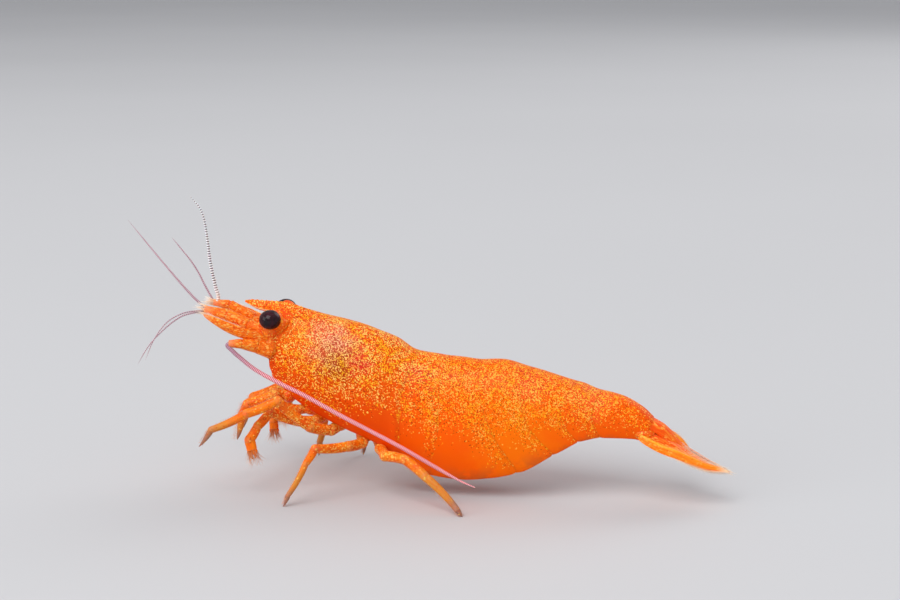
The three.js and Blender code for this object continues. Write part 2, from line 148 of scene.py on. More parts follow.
# ---- Shell: carapace and rostrum -----------------------------------------------------------------
# One hard glossy shell over the head and thorax, drawn out in front into a short toothed beak. It is a
# thin plate of chitin, lofted from the back line, the belly line and the widths at a few stations.
BACK_LINE = [
    (-10.3, 10.8), (-9.0, 10.6), (-7.5, 10.25), (-6.0, 9.93), (-4.6, 9.55), (-3.2, 9.02),
    (-2.0, 8.32), (-0.2, 8.08), (1.8, 7.93), (3.4, 7.93), (4.6, 7.65), (6.0, 7.25),
    (7.4, 6.9), (8.7, 6.48), (9.6, 6.28), (10.4, 6.04), (11.3, 5.55), (12.0, 4.92),
]
BELLY_LINE = [
    (-10.8, 6.95), (-9.3, 5.5), (-6.9, 4.18), (-4.4, 3.15), (-3.2, 2.5),
    (-2.1, 1.75), (-0.9, 1.3), (0.6, 1.15), (2.1, 1.25), (4.4, 1.75),
    (6.1, 2.75), (7.9, 3.75), (9.2, 3.95), (10.8, 3.9), (11.6, 3.6),
]
# Each station: where it starts on the back and on the belly, its half width and how far it bows forward.
STATIONS = [
    (-10.2, -10.6, 1.25, 0.12), (-8.6, -8.9, 1.65, 0.0), (-6.4, -6.8, 1.95, 0.0),
    (-4.2, -4.7, 2.05, 0.15), (-2.0, -2.7, 2.0, 0.4), (-0.2, -0.2, 2.0, 0.3), (1.7, 4.2, 2.0, 0.6),
    (4.6, 6.3, 1.85, 1.0), (7.3, 7.7, 1.6, 0.9), (8.7, 8.9, 1.35, 0.5), (11.9, 11.4, 0.85, 0.0),
]
CARAPACE_END = 4
WIDEST = 0.45
MARGIN = 0.76
LOW_SHARE = 0.4
OVAL = 2 / 2.1
SHELL_THICK = 0.1


def smooth_line(points):
    """The smooth curve through [x, value] points, as a function of x."""
    xs, zs = np.array(points, float).T
    around = np.arange(len(xs))
    before, after = np.maximum(around - 1, 0), np.minimum(around + 1, len(xs) - 1)
    slopes = (zs[after] - zs[before]) / (xs[after] - xs[before])

    def value(x):
        i = np.clip(np.searchsorted(xs, x) - 1, 0, len(xs) - 2)
        span, rise = xs[i + 1] - xs[i], zs[i + 1] - zs[i]
        t = np.clip((x - xs[i]) / span, 0, 1)
        lead, trail = slopes[i] * span, slopes[i + 1] * span
        return zs[i] + t * lead + t * t * (3 * rise - 2 * lead - trail) + t ** 3 * (lead + trail - 2 * rise)

    return value


back_height, belly_height = smooth_line(BACK_LINE), smooth_line(BELLY_LINE)
back_x, belly_x, half_width, bow = (smooth_line(list(enumerate(column))) for column in zip(*STATIONS))


def trunk(s, across, lift=0.0):
    """A point of the trunk's surface: s along the stations, across from -1 at the left margin over the
    back at 0 to 1 at the right margin. Also gives the point's height, from 0 at the belly to 1 on top."""
    turn = 1 - np.abs(across)
    low_turn = np.clip(turn / LOW_SHARE, 0, 1) * np.pi / 2
    top_turn = np.clip((turn - LOW_SHARE) / (1 - LOW_SHARE), 0, 1) * np.pi / 2
    lower = turn < LOW_SHARE
    high = np.where(lower, WIDEST * (1 - np.cos(low_turn)), WIDEST + (1 - WIDEST) * np.sin(top_turn) ** OVAL)
    wide = np.where(lower, MARGIN + (1 - MARGIN) * np.sin(low_turn), np.maximum(np.cos(top_turn), 0) ** OVAL)
    out = (half_width(s) * wide + lift * wide) * np.sign(across)
    back, belly = back_x(s), belly_x(s)
    x = belly + (back - belly) * high - 4 * bow(s) * high * (1 - high)
    low, top = belly_height(belly) - lift, back_height(back) + lift
    return np.stack([x, out, low + (top - low) * high], axis=-1), high


def facing(grid):
    """The outward direction at each point of a grid of points, whose rows run tailwards and whose columns
    run from the left over the top."""
    along = np.gradient(grid, axis=0)
    across = np.gradient(grid, axis=1)
    normal = np.cross(along, across)
    return normal / np.maximum(np.linalg.norm(normal, axis=-1, keepdims=True), 1e-9)


def hump(value, at, wide):
    """A smooth rise to 1 where value is at, gone again about twice wide away."""
    return np.exp(-((value - at) / wide) ** 2)


def ripple(grid, size, depth):
    """Slow soft unevenness of a grown surface: a height for each point of the grid."""
    flat = grid.reshape(-1, 3) / size
    return depth * np.array([noise.noise(Vector(p)) for p in flat]).reshape(grid.shape[:2])


def make_mesh(name, points, faces, paint, marks=None):
    """A smooth-shaded object from points and faces. marks holds named vectors, one for each point."""
    mesh = bpy.data.meshes.new(name)
    mesh.from_pydata(points.tolist(), [], faces)
    mesh.shade_smooth()
    mesh.set_sharp_from_angle(angle=radians(55))
    for mark, values in (marks or {}).items():
        mark_data = mesh.attributes.new(mark, "FLOAT_VECTOR", "POINT").data
        mark_data.foreach_set("vector", values.astype(np.float32).ravel())
    mesh.materials.append(paint)
    piece = bpy.data.objects.new(name, mesh)
    show(piece)
    return piece


def plate(name, outer, thick, place, paint):
    """A thin closed plate: the outer grid, the same grid sunk inwards, and a rim between them."""
    rows, columns = outer.shape[:2]
    count = rows * columns
    inner = outer - facing(outer) * thick
    number = np.arange(count).reshape(rows, columns)
    a, b, c, d = number[:-1, :-1], number[:-1, 1:], number[1:, 1:], number[1:, :-1]
    quads = np.stack([a, d, c, b], axis=-1).reshape(-1, 4)
    inside = quads[:, ::-1] + count
    edge = np.concatenate([number[0, :], number[1:, -1], number[-1, -2::-1], number[-2:0:-1, 0]])
    following = np.roll(edge, -1)
    rim = np.stack([edge, following, following + count, edge + count], axis=-1)
    faces = np.concatenate([quads, inside, rim]).tolist()
    points = np.concatenate([outer.reshape(-1, 3), inner.reshape(-1, 3)])
    marks = {"body_place": np.concatenate([place.reshape(-1, 3)] * 2)}
    return make_mesh(name, points, faces, paint, marks)


def colour(code):
    """A colour from its six-figure code, as the shaders take it."""
    parts = [((code >> shift) & 255) / 255 for shift in (16, 8, 0)]
    return (*[c / 12.92 if c <= 0.04045 else ((c + 0.055) / 1.055) ** 2.4 for c in parts], 1)


def blend(tree, share, first, second):
    """The colour between first and second, at that share."""
    return put(tree, "ShaderNodeMix", {0: share, 6: first, 7: second}, data_type="RGBA").outputs[2]


def ramp(tree, value, low, high, low_out=0.0, high_out=1.0):
    """A smooth step from low_out to high_out as value goes from low to high."""
    wires = {0: value, 1: low, 2: high, 3: low_out, 4: high_out}
    return put(tree, "ShaderNodeMapRange", wires, interpolation_type="SMOOTHSTEP").outputs[0]


def sums(tree, operation, first, second=0.0, third=0.0):
    return put(tree, "ShaderNodeMath", {0: first, 1: second, 2: third}, operation=operation).outputs[0]


def product(tree, first, *factors):
    for factor in factors:
        first = sums(tree, "MULTIPLY", first, factor)
    return first


def vectors(tree, operation, first, second=(0, 0, 0), third=(0, 0, 0)):
    return put(tree, "ShaderNodeVectorMath", {0: first, 1: second, 2: third}, operation=operation).outputs


def wash(tree, tone, code, *shares):
    """Lays the colour of a code over tone, as strongly as the product of the shares."""
    return blend(tree, product(tree, *shares), tone, colour(code))


def cloud(tree, place, size, detail, **more):
    """Soft cloudy noise, 0 to 1."""
    wires = {"Vector": place, "Scale": size, "Detail": detail, **more}
    return put(tree, "ShaderNodeTexNoise", wires).outputs[0]


def marks_of(tree, name):
    """The three values of a mark that the mesh carries at each point."""
    mark = put(tree, "ShaderNodeAttribute", attribute_name=name).outputs["Vector"]
    return put(tree, "ShaderNodeSeparateXYZ", {0: mark}).outputs


def finish_paint(tree, shader, tone, height, strength, deep):
    """Wires up a paint's colour and its relief, which is deep in metres."""
    tree.links.new(tone, shader.inputs["Base Color"])
    bump = put(tree, "ShaderNodeBump", {"Strength": strength, "Distance": deep, "Height": height})
    tree.links.new(bump.outputs[0], shader.inputs["Normal"])


def group_tree(name, inputs, outputs):
    """An empty shader group with named inputs and outputs. Returns it, its inputs and its output node."""
    tree = bpy.data.node_groups.new(name, "ShaderNodeTree")
    for label, (kind, value) in inputs.items():
        socket = tree.interface.new_socket(label, in_out="INPUT", socket_type=f"NodeSocket{kind}")
        if value is not None:
            socket.default_value = value
    for label, kind in outputs.items():
        tree.interface.new_socket(label, in_out="OUTPUT", socket_type=f"NodeSocket{kind}")
    return tree, put(tree, "NodeGroupInput").outputs, put(tree, "NodeGroupOutput")


def use(tree, group, wires=()):
    """Puts a shader group to work in a paint, and gives its outputs."""
    return put(tree, "ShaderNodeGroup", wires, node_tree=group).outputs


# The animal's own millimetres, from the coordinates of the object that is painted.
millimetres, _, end = group_tree("Animal millimetres", {}, {"Place": "Vector"})
here = put(millimetres, "ShaderNodeTexCoord")
from_datum = vectors(millimetres, "SUBTRACT", here.outputs["Object"], DATUM)[0]
as_mm = put(millimetres, "ShaderNodeVectorMath", {0: from_datum, "Scale": 1 / MM}, operation="SCALE")
millimetres.links.new(as_mm.outputs[0], end.inputs["Place"])

# Pigment cells: pale flecks like rice grains, and the dark gaps between them. Cover says how crowded they
# are, and Fineness how small.
flecks, given, end = group_tree(
    "Flecks", {"Place": ("Vector", None), "Fineness": ("Float", 9.0), "Cover": ("Float", 1.0)},
    {"Flecks": "Float", "Gaps": "Float"})
FLECK_BEND = (0.22, 0.22, 0.22)
wavy = put(flecks, "ShaderNodeTexNoise", {"Vector": given["Place"], "Scale": 5.0, "Detail": 1.0})
bent = vectors(flecks, "MULTIPLY_ADD", wavy.outputs[1], FLECK_BEND, given["Place"])[0]
for label, aside, share, edge in [
    ("Flecks", (0.0, 0.0, 0.0), 0.84, 0.5),
    ("Gaps", (5.3, 2.1, 7.7), 0.75, 0.44),
]:
    apart = vectors(flecks, "ADD", bent, aside)[0]
    cells = put(flecks, "ShaderNodeTexVoronoi", {"Vector": apart, "Scale": given["Fineness"]}, feature="F1")
    lot = put(flecks, "ShaderNodeSeparateXYZ", {0: cells.outputs["Color"]}).outputs[0]
    filled = sums(flecks, "LESS_THAN", lot, product(flecks, given["Cover"], share))
    dot = ramp(flecks, cells.outputs["Distance"], edge - 0.1, edge + 0.04, 1.0, 0.0)
    flecks.links.new(product(flecks, filled, dot), end.inputs[label])

# A ragged patch of colour round a centre.
blotch, given, end = group_tree(
    "Blotch", {"Place": ("Vector", None), "Centre": ("Vector", None), "Reach": ("Float", 1.0)},
    {"Patch": "Float"})
BLOTCH_STRAY = (2.4, 2.4, 2.4)
wander = put(blotch, "ShaderNodeTexNoise", {"Vector": given["Place"], "Scale": 1.6, "Detail": 3.0})
strayed = vectors(blotch, "SUBTRACT", wander.outputs[1], (0.5, 0.5, 0.5))[0]
moved = vectors(blotch, "MULTIPLY_ADD", strayed, BLOTCH_STRAY, given["Place"])[0]
apart = vectors(blotch, "DISTANCE", moved, given["Centre"])["Value"]
nearness = sums(blotch, "DIVIDE", apart, given["Reach"])
blotch.links.new(ramp(blotch, nearness, 0.15, 1.15, 1.0, 0.0), end.inputs["Patch"])

# How far a place lies from the nearer eye, in millimetres, and the fine darker rings that run round it.
eye_surround, given, end = group_tree(
    "Eye surround", {"Place": ("Vector", None)}, {"Far": "Float", "Rings": "Float"})
RINGS_PER_MM = 24.0
folded = vectors(eye_surround, "ABSOLUTE", given["Place"])[0]
far = vectors(eye_surround, "DISTANCE", folded, [abs(value) for value in EYE_AT])["Value"]
rounds = sums(eye_surround, "SINE", product(eye_surround, far, RINGS_PER_MM))
eye_surround.links.new(far, end.inputs["Far"])
eye_surround.links.new(ramp(eye_surround, rounds, 0.2, 1.0), end.inputs["Rings"])


shell_paint, tree, shader = plain_material("shell_chitin", {
    "Roughness": 0.42, "Specular IOR Level": 0.06, "Coat Weight": 0.04, "Coat Roughness": 0.14,
    "Subsurface Weight": 0.3, "Subsurface Radius": (1.0, 0.2, 0.02), "Subsurface Scale": 0.00025})
place = use(tree, millimetres)["Place"]
station, high, hind = marks_of(tree, "body_place")
slow = cloud(tree, place, 0.7, 3.0, Roughness=0.6)
uneven = sums(tree, "MULTIPLY_ADD", slow, 0.6, -0.3)

# Flecks crowd the back and the cheeks, thin out down the flank, and run lower along each hind edge.
level = sums(tree, "ADD", high, uneven)
flank_line = ramp(tree, station, 0.6, 1.9, -0.04, 0.14)
for start, stop, rise in ((1.9, 4.1, 0.3), (5.4, 6.6, -0.12)):
    flank_line = sums(tree, "ADD", flank_line, ramp(tree, station, start, stop, 0.0, rise))
surround = use(tree, eye_surround, {"Place": place})
streak = product(tree, ramp(tree, hind, 0.5, 0.95), ramp(tree, station, 3.9, 4.2))
thinner = product(tree, ramp(tree, station, 9.1, 9.95, 1.0, 0.45), ramp(tree, station, 0.2, 2.0, 0.62, 1.0))
above = sums(tree, "ADD", sums(tree, "SUBTRACT", level, flank_line), product(tree, streak, 0.32))
clear_of_eye = ramp(tree, surround["Far"], 0.95, 1.45, 0.1, 1.0)
cover = product(tree, ramp(tree, above, -0.2, 0.5), clear_of_eye, thinner)
spotted = use(tree, flecks, {"Place": place, "Fineness": 13.0, "Cover": cover})

# The ground colour, from the flank up to the ridge of the back.
skin_tone = blend(tree, ramp(tree, level, 0.1, 0.7), colour(0xE84C00), colour(0xEE5604))
skin_tone = wash(tree, skin_tone, 0xFE5E00, ramp(tree, station, 3.5, 5.0))
brow = product(tree, ramp(tree, station, 0.9, 2.2, 1.0, 0.0), ramp(tree, high, 0.5, 0.72))
skin_tone = wash(tree, skin_tone, 0xFF7414, brow, 0.6)
# A brighter orange patch low on the front of the abdomen: painted glow of light shining through the
# translucent flank.
glow = use(tree, blotch, {"Place": place, "Centre": (4.2, -1.6, 3.6), "Reach": 3.4})["Patch"]
skin_tone = wash(tree, skin_tone, 0xFF7200, glow)
# Brownish patches low on the abdomen's flanks, darker towards the lower edge.
low_flank_brown = product(tree, ramp(tree, high, 0.0, 0.16, 0.5, 0.0), ramp(tree, slow, 0.45, 0.6))
skin_tone = wash(tree, skin_tone, 0xB85A24, low_flank_brown, ramp(tree, station, 3.8, 4.4))
# A faint rosy tint along the ridge of the back: painted highlight.
skin_tone = wash(tree, skin_tone, 0xF05410, ramp(tree, level, 0.82, 1.05))
# Patches of mottled colour over the shell. The first, a rosy patch high on the carapace, is painted
# highlight; the others are the shell's own colour.
for centre, reach, tone, strength in [
    ((-6.7, -1.9, 9.1), 2.0, 0xD86C58, 0.55), ((-6.3, -2.0, 7.8), 1.7, 0x8C2C08, 0.65),
    ((-4.9, -2.0, 7.9), 1.0, 0xE02028, 0.75), ((-1.7, -1.9, 7.2), 1.3, 0xE83A28, 0.5),
    ((8.6, -1.0, 6.6), 1.8, 0xF06048, 0.3), ((4.9, -1.2, 7.2), 1.8, 0xF05838, 0.4),
]:
    patch = use(tree, blotch, {"Place": place, "Centre": centre, "Reach": reach})["Patch"]
    skin_tone = wash(tree, skin_tone, tone, patch, strength)
gapped = wash(tree, skin_tone, 0xA82C02, spotted["Gaps"], ramp(tree, station, 3.0, 9.5, 0.9, 0.55))

# The grains: gold to straw, deeper on the abdomen, and pale rosy over the saddle, where they are painted
# highlight.
warmth = cloud(tree, place, 2.2, 2.0)
grain_tone = blend(tree, ramp(tree, warmth, 0.38, 0.62), colour(0xFFBE20), colour(0xFFDA6C))
grain_tone = wash(tree, grain_tone, 0xFFA420, ramp(tree, station, 3.2, 6.0, 0.0, 0.6))
# Pale rosy grains high on the carapace: painted highlight.
rosy_highlight = use(tree, blotch, {"Place": place, "Centre": (-6.9, -1.9, 9.3), "Reach": 1.8})["Patch"]
grain_tone = wash(tree, grain_tone, 0xFFC89C, rosy_highlight, 0.8)
flushed = use(tree, blotch, {"Place": place, "Centre": (-4.9, -2.0, 7.9), "Reach": 0.9})["Patch"]
grain_tone = wash(tree, grain_tone, 0xF07450, flushed, 0.55)
finished = blend(tree, product(tree, spotted["Flecks"], 0.95), gapped, grain_tone)

# A painted shadow line along the hind edge of the carapace and of each ring, a pale rib low on the beak, and
# the fine rings round the eyes.
margin = product(tree, ramp(tree, hind, 0.955, 0.985), ramp(tree, station, 3.7, 3.9, 0.0, 0.22))
finished = wash(tree, finished, 0xB84004, margin)
beak_rib = product(tree, ramp(tree, hind, 0.3, 0.9), ramp(tree, station, 1.0, 1.4, 0.75, 0.0))
finished = wash(tree, finished, 0xFFD8A4, beak_rib)
finished = wash(tree, finished, 0xD83A02, surround["Rings"], ramp(tree, surround["Far"], 0.8, 1.6, 0.5, 0.0))
relief = sums(tree, "MULTIPLY_ADD", spotted["Flecks"], 0.4, cloud(tree, place, 14.0, 2.0))
finish_paint(tree, shader, finished, relief, strength=0.25, deep=0.00002)

# The carapace. Its front edge is notched at the eye, drawn out into a spine below it and rounded at the
# cheek, and two low folds run round the eye socket.
SOCKET = EYE_RADIUS + 0.08
FOLD_HIGH = 0.045
OVER_FIRST_RING, OVERLAP_LIFT = 0.1, 0.02
along = np.linspace(0, 1, 170)[:, None]
across = np.linspace(-1, 1, 141)[None, :]
_, high = trunk(np.zeros_like(across), across)
notch = 0.3 * hump(high, 0.84, 0.12)
spine = -0.13 * hump(high, 0.6, 0.045)
corner = 0.3 * np.clip(1 - high / 0.14, 0, 1) ** 2
cheek = -0.24 * hump(high, 0.42, 0.14)
front = notch + spine + corner + cheek
hind_corner = -0.16 * np.clip(1 - high / 0.1, 0, 1) ** 2
s = front + (CARAPACE_END + OVER_FIRST_RING + hind_corner - front) * along
overlap = OVERLAP_LIFT * np.clip((along - 0.93) / 0.07, 0, 1)
outer, high = trunk(s, np.broadcast_to(across, s.shape), np.broadcast_to(overlap, s.shape))
outer += facing(outer) * ripple(outer, 1.4, 0.03)[..., None]
for way in (-1, 1):
    centre = np.array(EYE_AT) * (1, way, 1)
    off = outer - centre
    far = np.linalg.norm(off, axis=-1, keepdims=True)
    outer = np.where(far < SOCKET, centre + off / far * SOCKET, outer)
    outer += facing(outer) * FOLD_HIGH * (hump(far, 0.96, 0.07) + 0.8 * hump(far, 1.24, 0.08))
place = np.stack([s, high, np.broadcast_to(along, s.shape)], axis=-1)
settle(plate("carapace_shell", outer, SHELL_THICK, place, shell_paint), "shell", "carapace")

# The beak is a thin upright blade that rises out of the shell's back between the eyes. Small teeth that point
# forward run along its upper edge. Each row: x, half width, lower edge, upper edge.
BEAK = [
    (-12.36, 0.04, 10.78, 10.9), (-12.05, 0.1, 10.6, 10.94),
    (-11.6, 0.15, 10.38, 10.93), (-11.0, 0.2, 10.25, 10.91), (-10.3, 0.28, 10.15, 10.89),
    (-9.4, 0.32, 10.2, 10.76), (-8.3, 0.3, 10.0, 10.47),
]
TEETH_START, TEETH_END, TEETH_PITCH, TEETH_HIGH = -12.0, -8.9, 0.3, 0.05
# A rib runs low along each side of it, as far back as the eye. The blade takes its colour from this station
# and height of the shell.
RIB_AT, RIB_WIDE, RIB_SWELL, RIB_END = -0.6, 0.16, 0.4, -10.4
BEAK_STATION, BEAK_HEIGHT = 0.9, 0.72
half_beak, low_beak, top_beak = (smooth_line([(row[0], row[k]) for row in BEAK]) for k in (1, 2, 3))


def closed_rings(grid):
    """The faces of a tube through a grid of rings, with a fan at each end round an added middle point."""
    rows, columns = grid.shape[:2]
    number = np.arange(rows * columns).reshape(rows, columns)
    turned = np.roll(number, -1, axis=1)
    quads = np.stack([number[:-1], turned[:-1], turned[1:], number[1:]], axis=-1).reshape(-1, 4).tolist()
    first, last = rows * columns, rows * columns + 1
    quads += [(first, b, a) for a, b in zip(number[0].tolist(), turned[0].tolist())]
    quads += [(last, a, b) for a, b in zip(number[-1].tolist(), turned[-1].tolist())]
    points = np.concatenate([grid.reshape(-1, 3), grid[0].mean(0)[None], grid[-1].mean(0)[None]])
    return points, quads


x = np.linspace(BEAK[-1][0], BEAK[0][0], 300)[:, None]
angle = np.linspace(0, 2 * np.pi, 28, endpoint=False)[None, :]
low, top = low_beak(x), top_beak(x)
tooth = np.clip(((x - TEETH_START) / TEETH_PITCH) % 1.0, 0, 1)
toothed = (x > TEETH_START) & (x < TEETH_END)
raised = np.where(toothed, (1 - tooth) * np.clip(tooth / 0.15, 0, 1), 0) * TEETH_HIGH
rise = np.sin(angle)
upper = np.clip(rise, 0, 1) ** 6
rib = hump(rise, RIB_AT, RIB_WIDE)
y = -half_beak(x) * np.cos(angle) * (1 - 0.45 * np.clip(rise, 0, 1)) * (1 + RIB_SWELL * rib)
z = (low + top) / 2 + (top - low) / 2 * rise + raised * upper
grid = np.stack([np.broadcast_to(x, z.shape), y, z], axis=-1)
points, quads = closed_rings(grid)
rib_here = np.append(np.broadcast_to(rib, z.shape).ravel(), (0.0, 0.0)) * (points[:, 0] < RIB_END)
marks = np.stack(np.broadcast_arrays(BEAK_STATION, BEAK_HEIGHT, rib_here), axis=-1)
settle(make_mesh("beak_shell", points, quads, shell_paint, {"body_place": marks}), "shell", "rostrum")

# ---- Shell: the six rings of the abdomen ---------------------------------------------------------
# Each ring is a hard arched plate with a rounded flap on both sides. It slides under the hind edge of the one
# before, and the second ring's flaps lap over both neighbours.
RINGS, LAPPING_RING, LAST_RING = range(1, 7), 2, 6
TUCKED_UNDER, LAPPED_OVER, HEM = 0.12, 0.08, 0.03
FLAP_LAP = 0.1
for ring in RINGS:
    start = CARAPACE_END + ring - 1
    along = np.linspace(0, 1, 56)[:, None]
    share = np.linspace(-1, 1, 121)[None, :]
    rounding = 0.03 * along if ring == LAST_RING else 0.13 * np.abs(2 * along - 1) ** 6
    across = share * (1 - rounding)
    flap = np.clip((np.abs(across) - 0.55) / 0.25, 0, 1)
    lapping = flap if ring == LAPPING_RING else 0 * flap
    lapped_over, hem = (0.0, 0.0) if ring == LAST_RING else (LAPPED_OVER, HEM)
    s = start - TUCKED_UNDER - FLAP_LAP * lapping
    s = s + (1 + TUCKED_UNDER + lapped_over + FLAP_LAP * lapping) * along
    front_lift = np.clip(1 - along / 0.2, 0, 1) * (-0.05 + 0.09 * lapping)
    hind_lift = hem * np.clip((along - 0.82) / 0.18, 0, 1) ** 1.5
    arch = 0.065 * np.sin(np.pi * along) - 0.015
    outer, high = trunk(s, across, front_lift + hind_lift + arch)
    outer += facing(outer) * ripple(outer, 1.2, 0.02)[..., None]
    place = np.stack([s + 0 * high, high, along + 0 * high], axis=-1)
    ring_shell = plate(f"abdomen_shell_{ring}", outer, SHELL_THICK, place, shell_paint)
    settle(ring_shell, "shell", f"abdomen_{ring}")

# ---- Tail fan ------------------------------------------------------------------------------------
# The middle blade and two thin blades on each side, stiff plates of chitin with a raised rib, nearly closed
# over one another. Each row of a blade: x, y, z of its middle line and its half width, on the right side.


def along_route(route, rows):
    """Even steps of a smooth line through a route: the places, what follows x, y, z in its rows, the sideways
    and upward directions, and the share of the length."""
    table = np.array(route, float)
    legs = np.linalg.norm(np.diff(table[:, :3], axis=0), axis=1)
    gone = np.concatenate([[0], np.cumsum(legs)])
    wanted = np.linspace(0, gone[-1], rows)
    columns = [smooth_line(list(zip(gone, column)))(wanted) for column in table.T]
    middle = np.stack(columns[:3], axis=-1)
    ahead = np.gradient(middle, axis=0)
    ahead /= np.linalg.norm(ahead, axis=1, keepdims=True)
    side = np.array((0.0, 1.0, 0.0))
    sides = []
    for way in ahead:
        side = side - way * side.dot(way)
        side = side / np.linalg.norm(side)
        sides.append(side)
    sides = np.array(sides)
    return middle, columns[3:], sides, np.cross(ahead, sides), wanted / gone[-1]


def mirrored(route, way):
    return [(row[0], row[1] * way, *row[2:]) for row in route]


def leaning(side, up, tilt):
    """The sideways and upward directions of a blade that leans by tilt."""
    return side * np.cos(tilt) + up * np.sin(tilt), up * np.cos(tilt) - side * np.sin(tilt)


def blade(name, route, paint, region, tilt, thick, camber, rib, knob=0.0):
    """A thin closed blade: lens-shaped across, arched by camber, leaning by tilt, with a rib along it. knob
    swells it at the root. region tells the paint which blade it is: 0 middle, 1 inner, 2 outer."""
    middle, (half,), side, up, t = along_route(route, 60)
    angle = np.linspace(0, 2 * np.pi, 40, endpoint=False)[None, :]
    w = np.cos(angle)
    half = half[:, None]
    bulk = np.sqrt(np.sin(np.clip(t, 0.001, 0.999) * np.pi) ** 0.5)[:, None]
    bulk = bulk * (1 + knob * hump(t[:, None], 0, 0.12))
    height = thick * np.sin(angle) * bulk + camber * half * (1 - w * w)
    height = height + rib * hump(w, 0, 0.12) * (np.sin(angle) > 0) * (1 - t[:, None] * 0.6)
    lean_side, lean_up = leaning(side[:, None, :], up[:, None, :], tilt)
    grid = middle[:, None, :] + lean_side * (half * w)[..., None] + lean_up * height[..., None]
    points, quads = closed_rings(grid)
    ends = np.array([[0, 0, region], [1, 0, region]], float)
    marks = np.stack(np.broadcast_arrays(t[:, None], w, region + 0 * w), axis=-1).reshape(-1, 3)
    marks = np.concatenate([marks, ends])
    round_it = np.stack([marks[:, 0], (1 - marks[:, 1]) / 4, 0 * marks[:, 0]], axis=-1)
    return make_mesh(name, points, quads, paint, {"blade_place": marks, "limb_place": round_it})


SIDES = (("left", -1), ("right", 1))
TELSON = [
    (11.2, 0, 4.8, 0.74), (12.12, 0, 4.29, 0.7), (12.5, 0, 3.97, 0.64), (13.1, 0, 3.31, 0.55),
    (13.74, 0, 2.78, 0.45), (14.71, 0, 2.28, 0.29), (15.1, 0, 2.15, 0.22), (15.35, 0, 2.1, 0.1),
]
INNER_BLADE = [
    (11.4, 0.5, 4.3, 0.3), (12.4, 0.62, 3.84, 0.48), (13.2, 0.64, 3.38, 0.5), (13.8, 0.62, 3.0, 0.47),
    (14.4, 0.56, 2.7, 0.42), (15.1, 0.43, 2.38, 0.3), (15.6, 0.36, 2.22, 0.17), (15.9, 0.32, 2.14, 0.04),
]
# The right outer blade is held a little raised and out, with its tip curled down behind the others.
OUTER_BLADES = {
    "left": [
        (11.2, 1.0, 4.08, 0.2), (11.45, 1.1, 3.98, 0.32), (11.9, 1.15, 3.78, 0.42),
        (12.5, 1.12, 3.52, 0.46), (13.3, 1.04, 3.25, 0.46), (14.2, 0.9, 2.84, 0.4),
        (15.0, 0.7, 2.48, 0.3), (15.7, 0.52, 2.3, 0.18), (16.2, 0.44, 2.16, 0.05),
    ],
    "right": [
        (10.85, 1.0, 4.05, 0.16), (11.2, 1.1, 4.05, 0.3), (11.8, 1.25, 3.94, 0.42),
        (12.4, 1.35, 3.76, 0.5), (12.9, 1.42, 3.54, 0.5), (13.35, 1.45, 3.22, 0.45),
        (13.65, 1.45, 2.9, 0.36), (13.95, 1.43, 2.5, 0.24), (14.2, 1.4, 2.15, 0.05),
    ],
}
INNER_TILT = 0.5
OUTER_TILTS = {"left": 0.38, "right": -0.35}

# Streaks that run along a limb or a blade. Along is 0 to 1 from its root, Round 0 to 1 round it.
streaks, given, end = group_tree("Lengthwise streaks", {
    "Along": ("Float", 0.0), "Round": ("Float", 0.0), "Girth": ("Float", 0.4), "Fineness": ("Float", 9.0)},
    {"Streaks": "Float"})
turned = product(streaks, given["Round"], 2 * np.pi)
wound = put(streaks, "ShaderNodeCombineXYZ", {
    0: given["Along"], 1: product(streaks, sums(streaks, "COSINE", turned), given["Girth"]),
    2: product(streaks, sums(streaks, "SINE", turned), given["Girth"])})
lines = cloud(streaks, wound.outputs[0], given["Fineness"], 2.0, Distortion=0.3)
streaks.links.new(ramp(streaks, lines, 0.44, 0.58), end.inputs["Streaks"])


def fleck_over(tree, tone, place, fineness, cover, gaps, grains):
    """Lays pigment cells over tone. gaps and grains are each a colour code and a strength. Also gives the
    grains by themselves."""
    spotted = use(tree, flecks, {"Place": place, "Fineness": fineness, "Cover": cover})
    tone = wash(tree, tone, gaps[0], spotted["Gaps"], gaps[1])
    return wash(tree, tone, grains[0], spotted["Flecks"], grains[1]), spotted["Flecks"]


fan_paint, tree, shader = plain_material("fan_chitin", {
    "Roughness": 0.4, "Specular IOR Level": 0.1, "Coat Weight": 0.06, "Coat Roughness": 0.12,
    "Subsurface Weight": 0.3, "Subsurface Radius": (1.0, 0.3, 0.05), "Subsurface Scale": 0.00015})
place = use(tree, millimetres)["Place"]
length, width, region = marks_of(tree, "blade_place")
round_it = marks_of(tree, "limb_place")[1]
from_rib = sums(tree, "ABSOLUTE", width)
lined = use(tree, streaks, {"Along": length, "Round": round_it, "Girth": 0.5, "Fineness": 9.0})["Streaks"]
tone = blend(tree, ramp(tree, length, 0.1, 0.8), colour(0xF25206), colour(0xFF6E0C))
tone = wash(tree, tone, 0xFF8A0E, ramp(tree, region, 1.5, 2.0, 0.0, 0.6))
tone = wash(tree, tone, 0xFFA030, lined, 0.45)
# A pale yellow line along the rib of the outer blades, strongest near the root: partly the rib's own paler
# colour, partly painted highlight.
rib = product(tree, ramp(tree, from_rib, 0.05, 0.3, 1.0, 0.0), ramp(tree, region, 1.5, 2.0, 0.0, 0.8))
tone = wash(tree, tone, 0xFFC23C, rib, ramp(tree, length, 0.1, 0.75, 1.0, 0.3))
stretched = vectors(tree, "MULTIPLY", place, (0.45, 1, 1))[0]
cover = product(tree, ramp(tree, length, 0.0, 0.7, 0.7, 0.2), ramp(tree, region, 0.5, 1.5, 0.5, 1.0))
tone, _ = fleck_over(tree, tone, stretched, 9.5, cover, (0xD04A04, 0.35), (0xFFB850, 0.6))
tone = wash(tree, tone, 0xF0A890, ramp(tree, from_rib, 0.8, 1.0), ramp(tree, length, 0.45, 0.8, 0.0, 0.7))
tone = wash(tree, tone, 0xFFD6AC, ramp(tree, length, 0.84, 1.0))
tree.links.new(tone, shader.inputs["Base Color"])

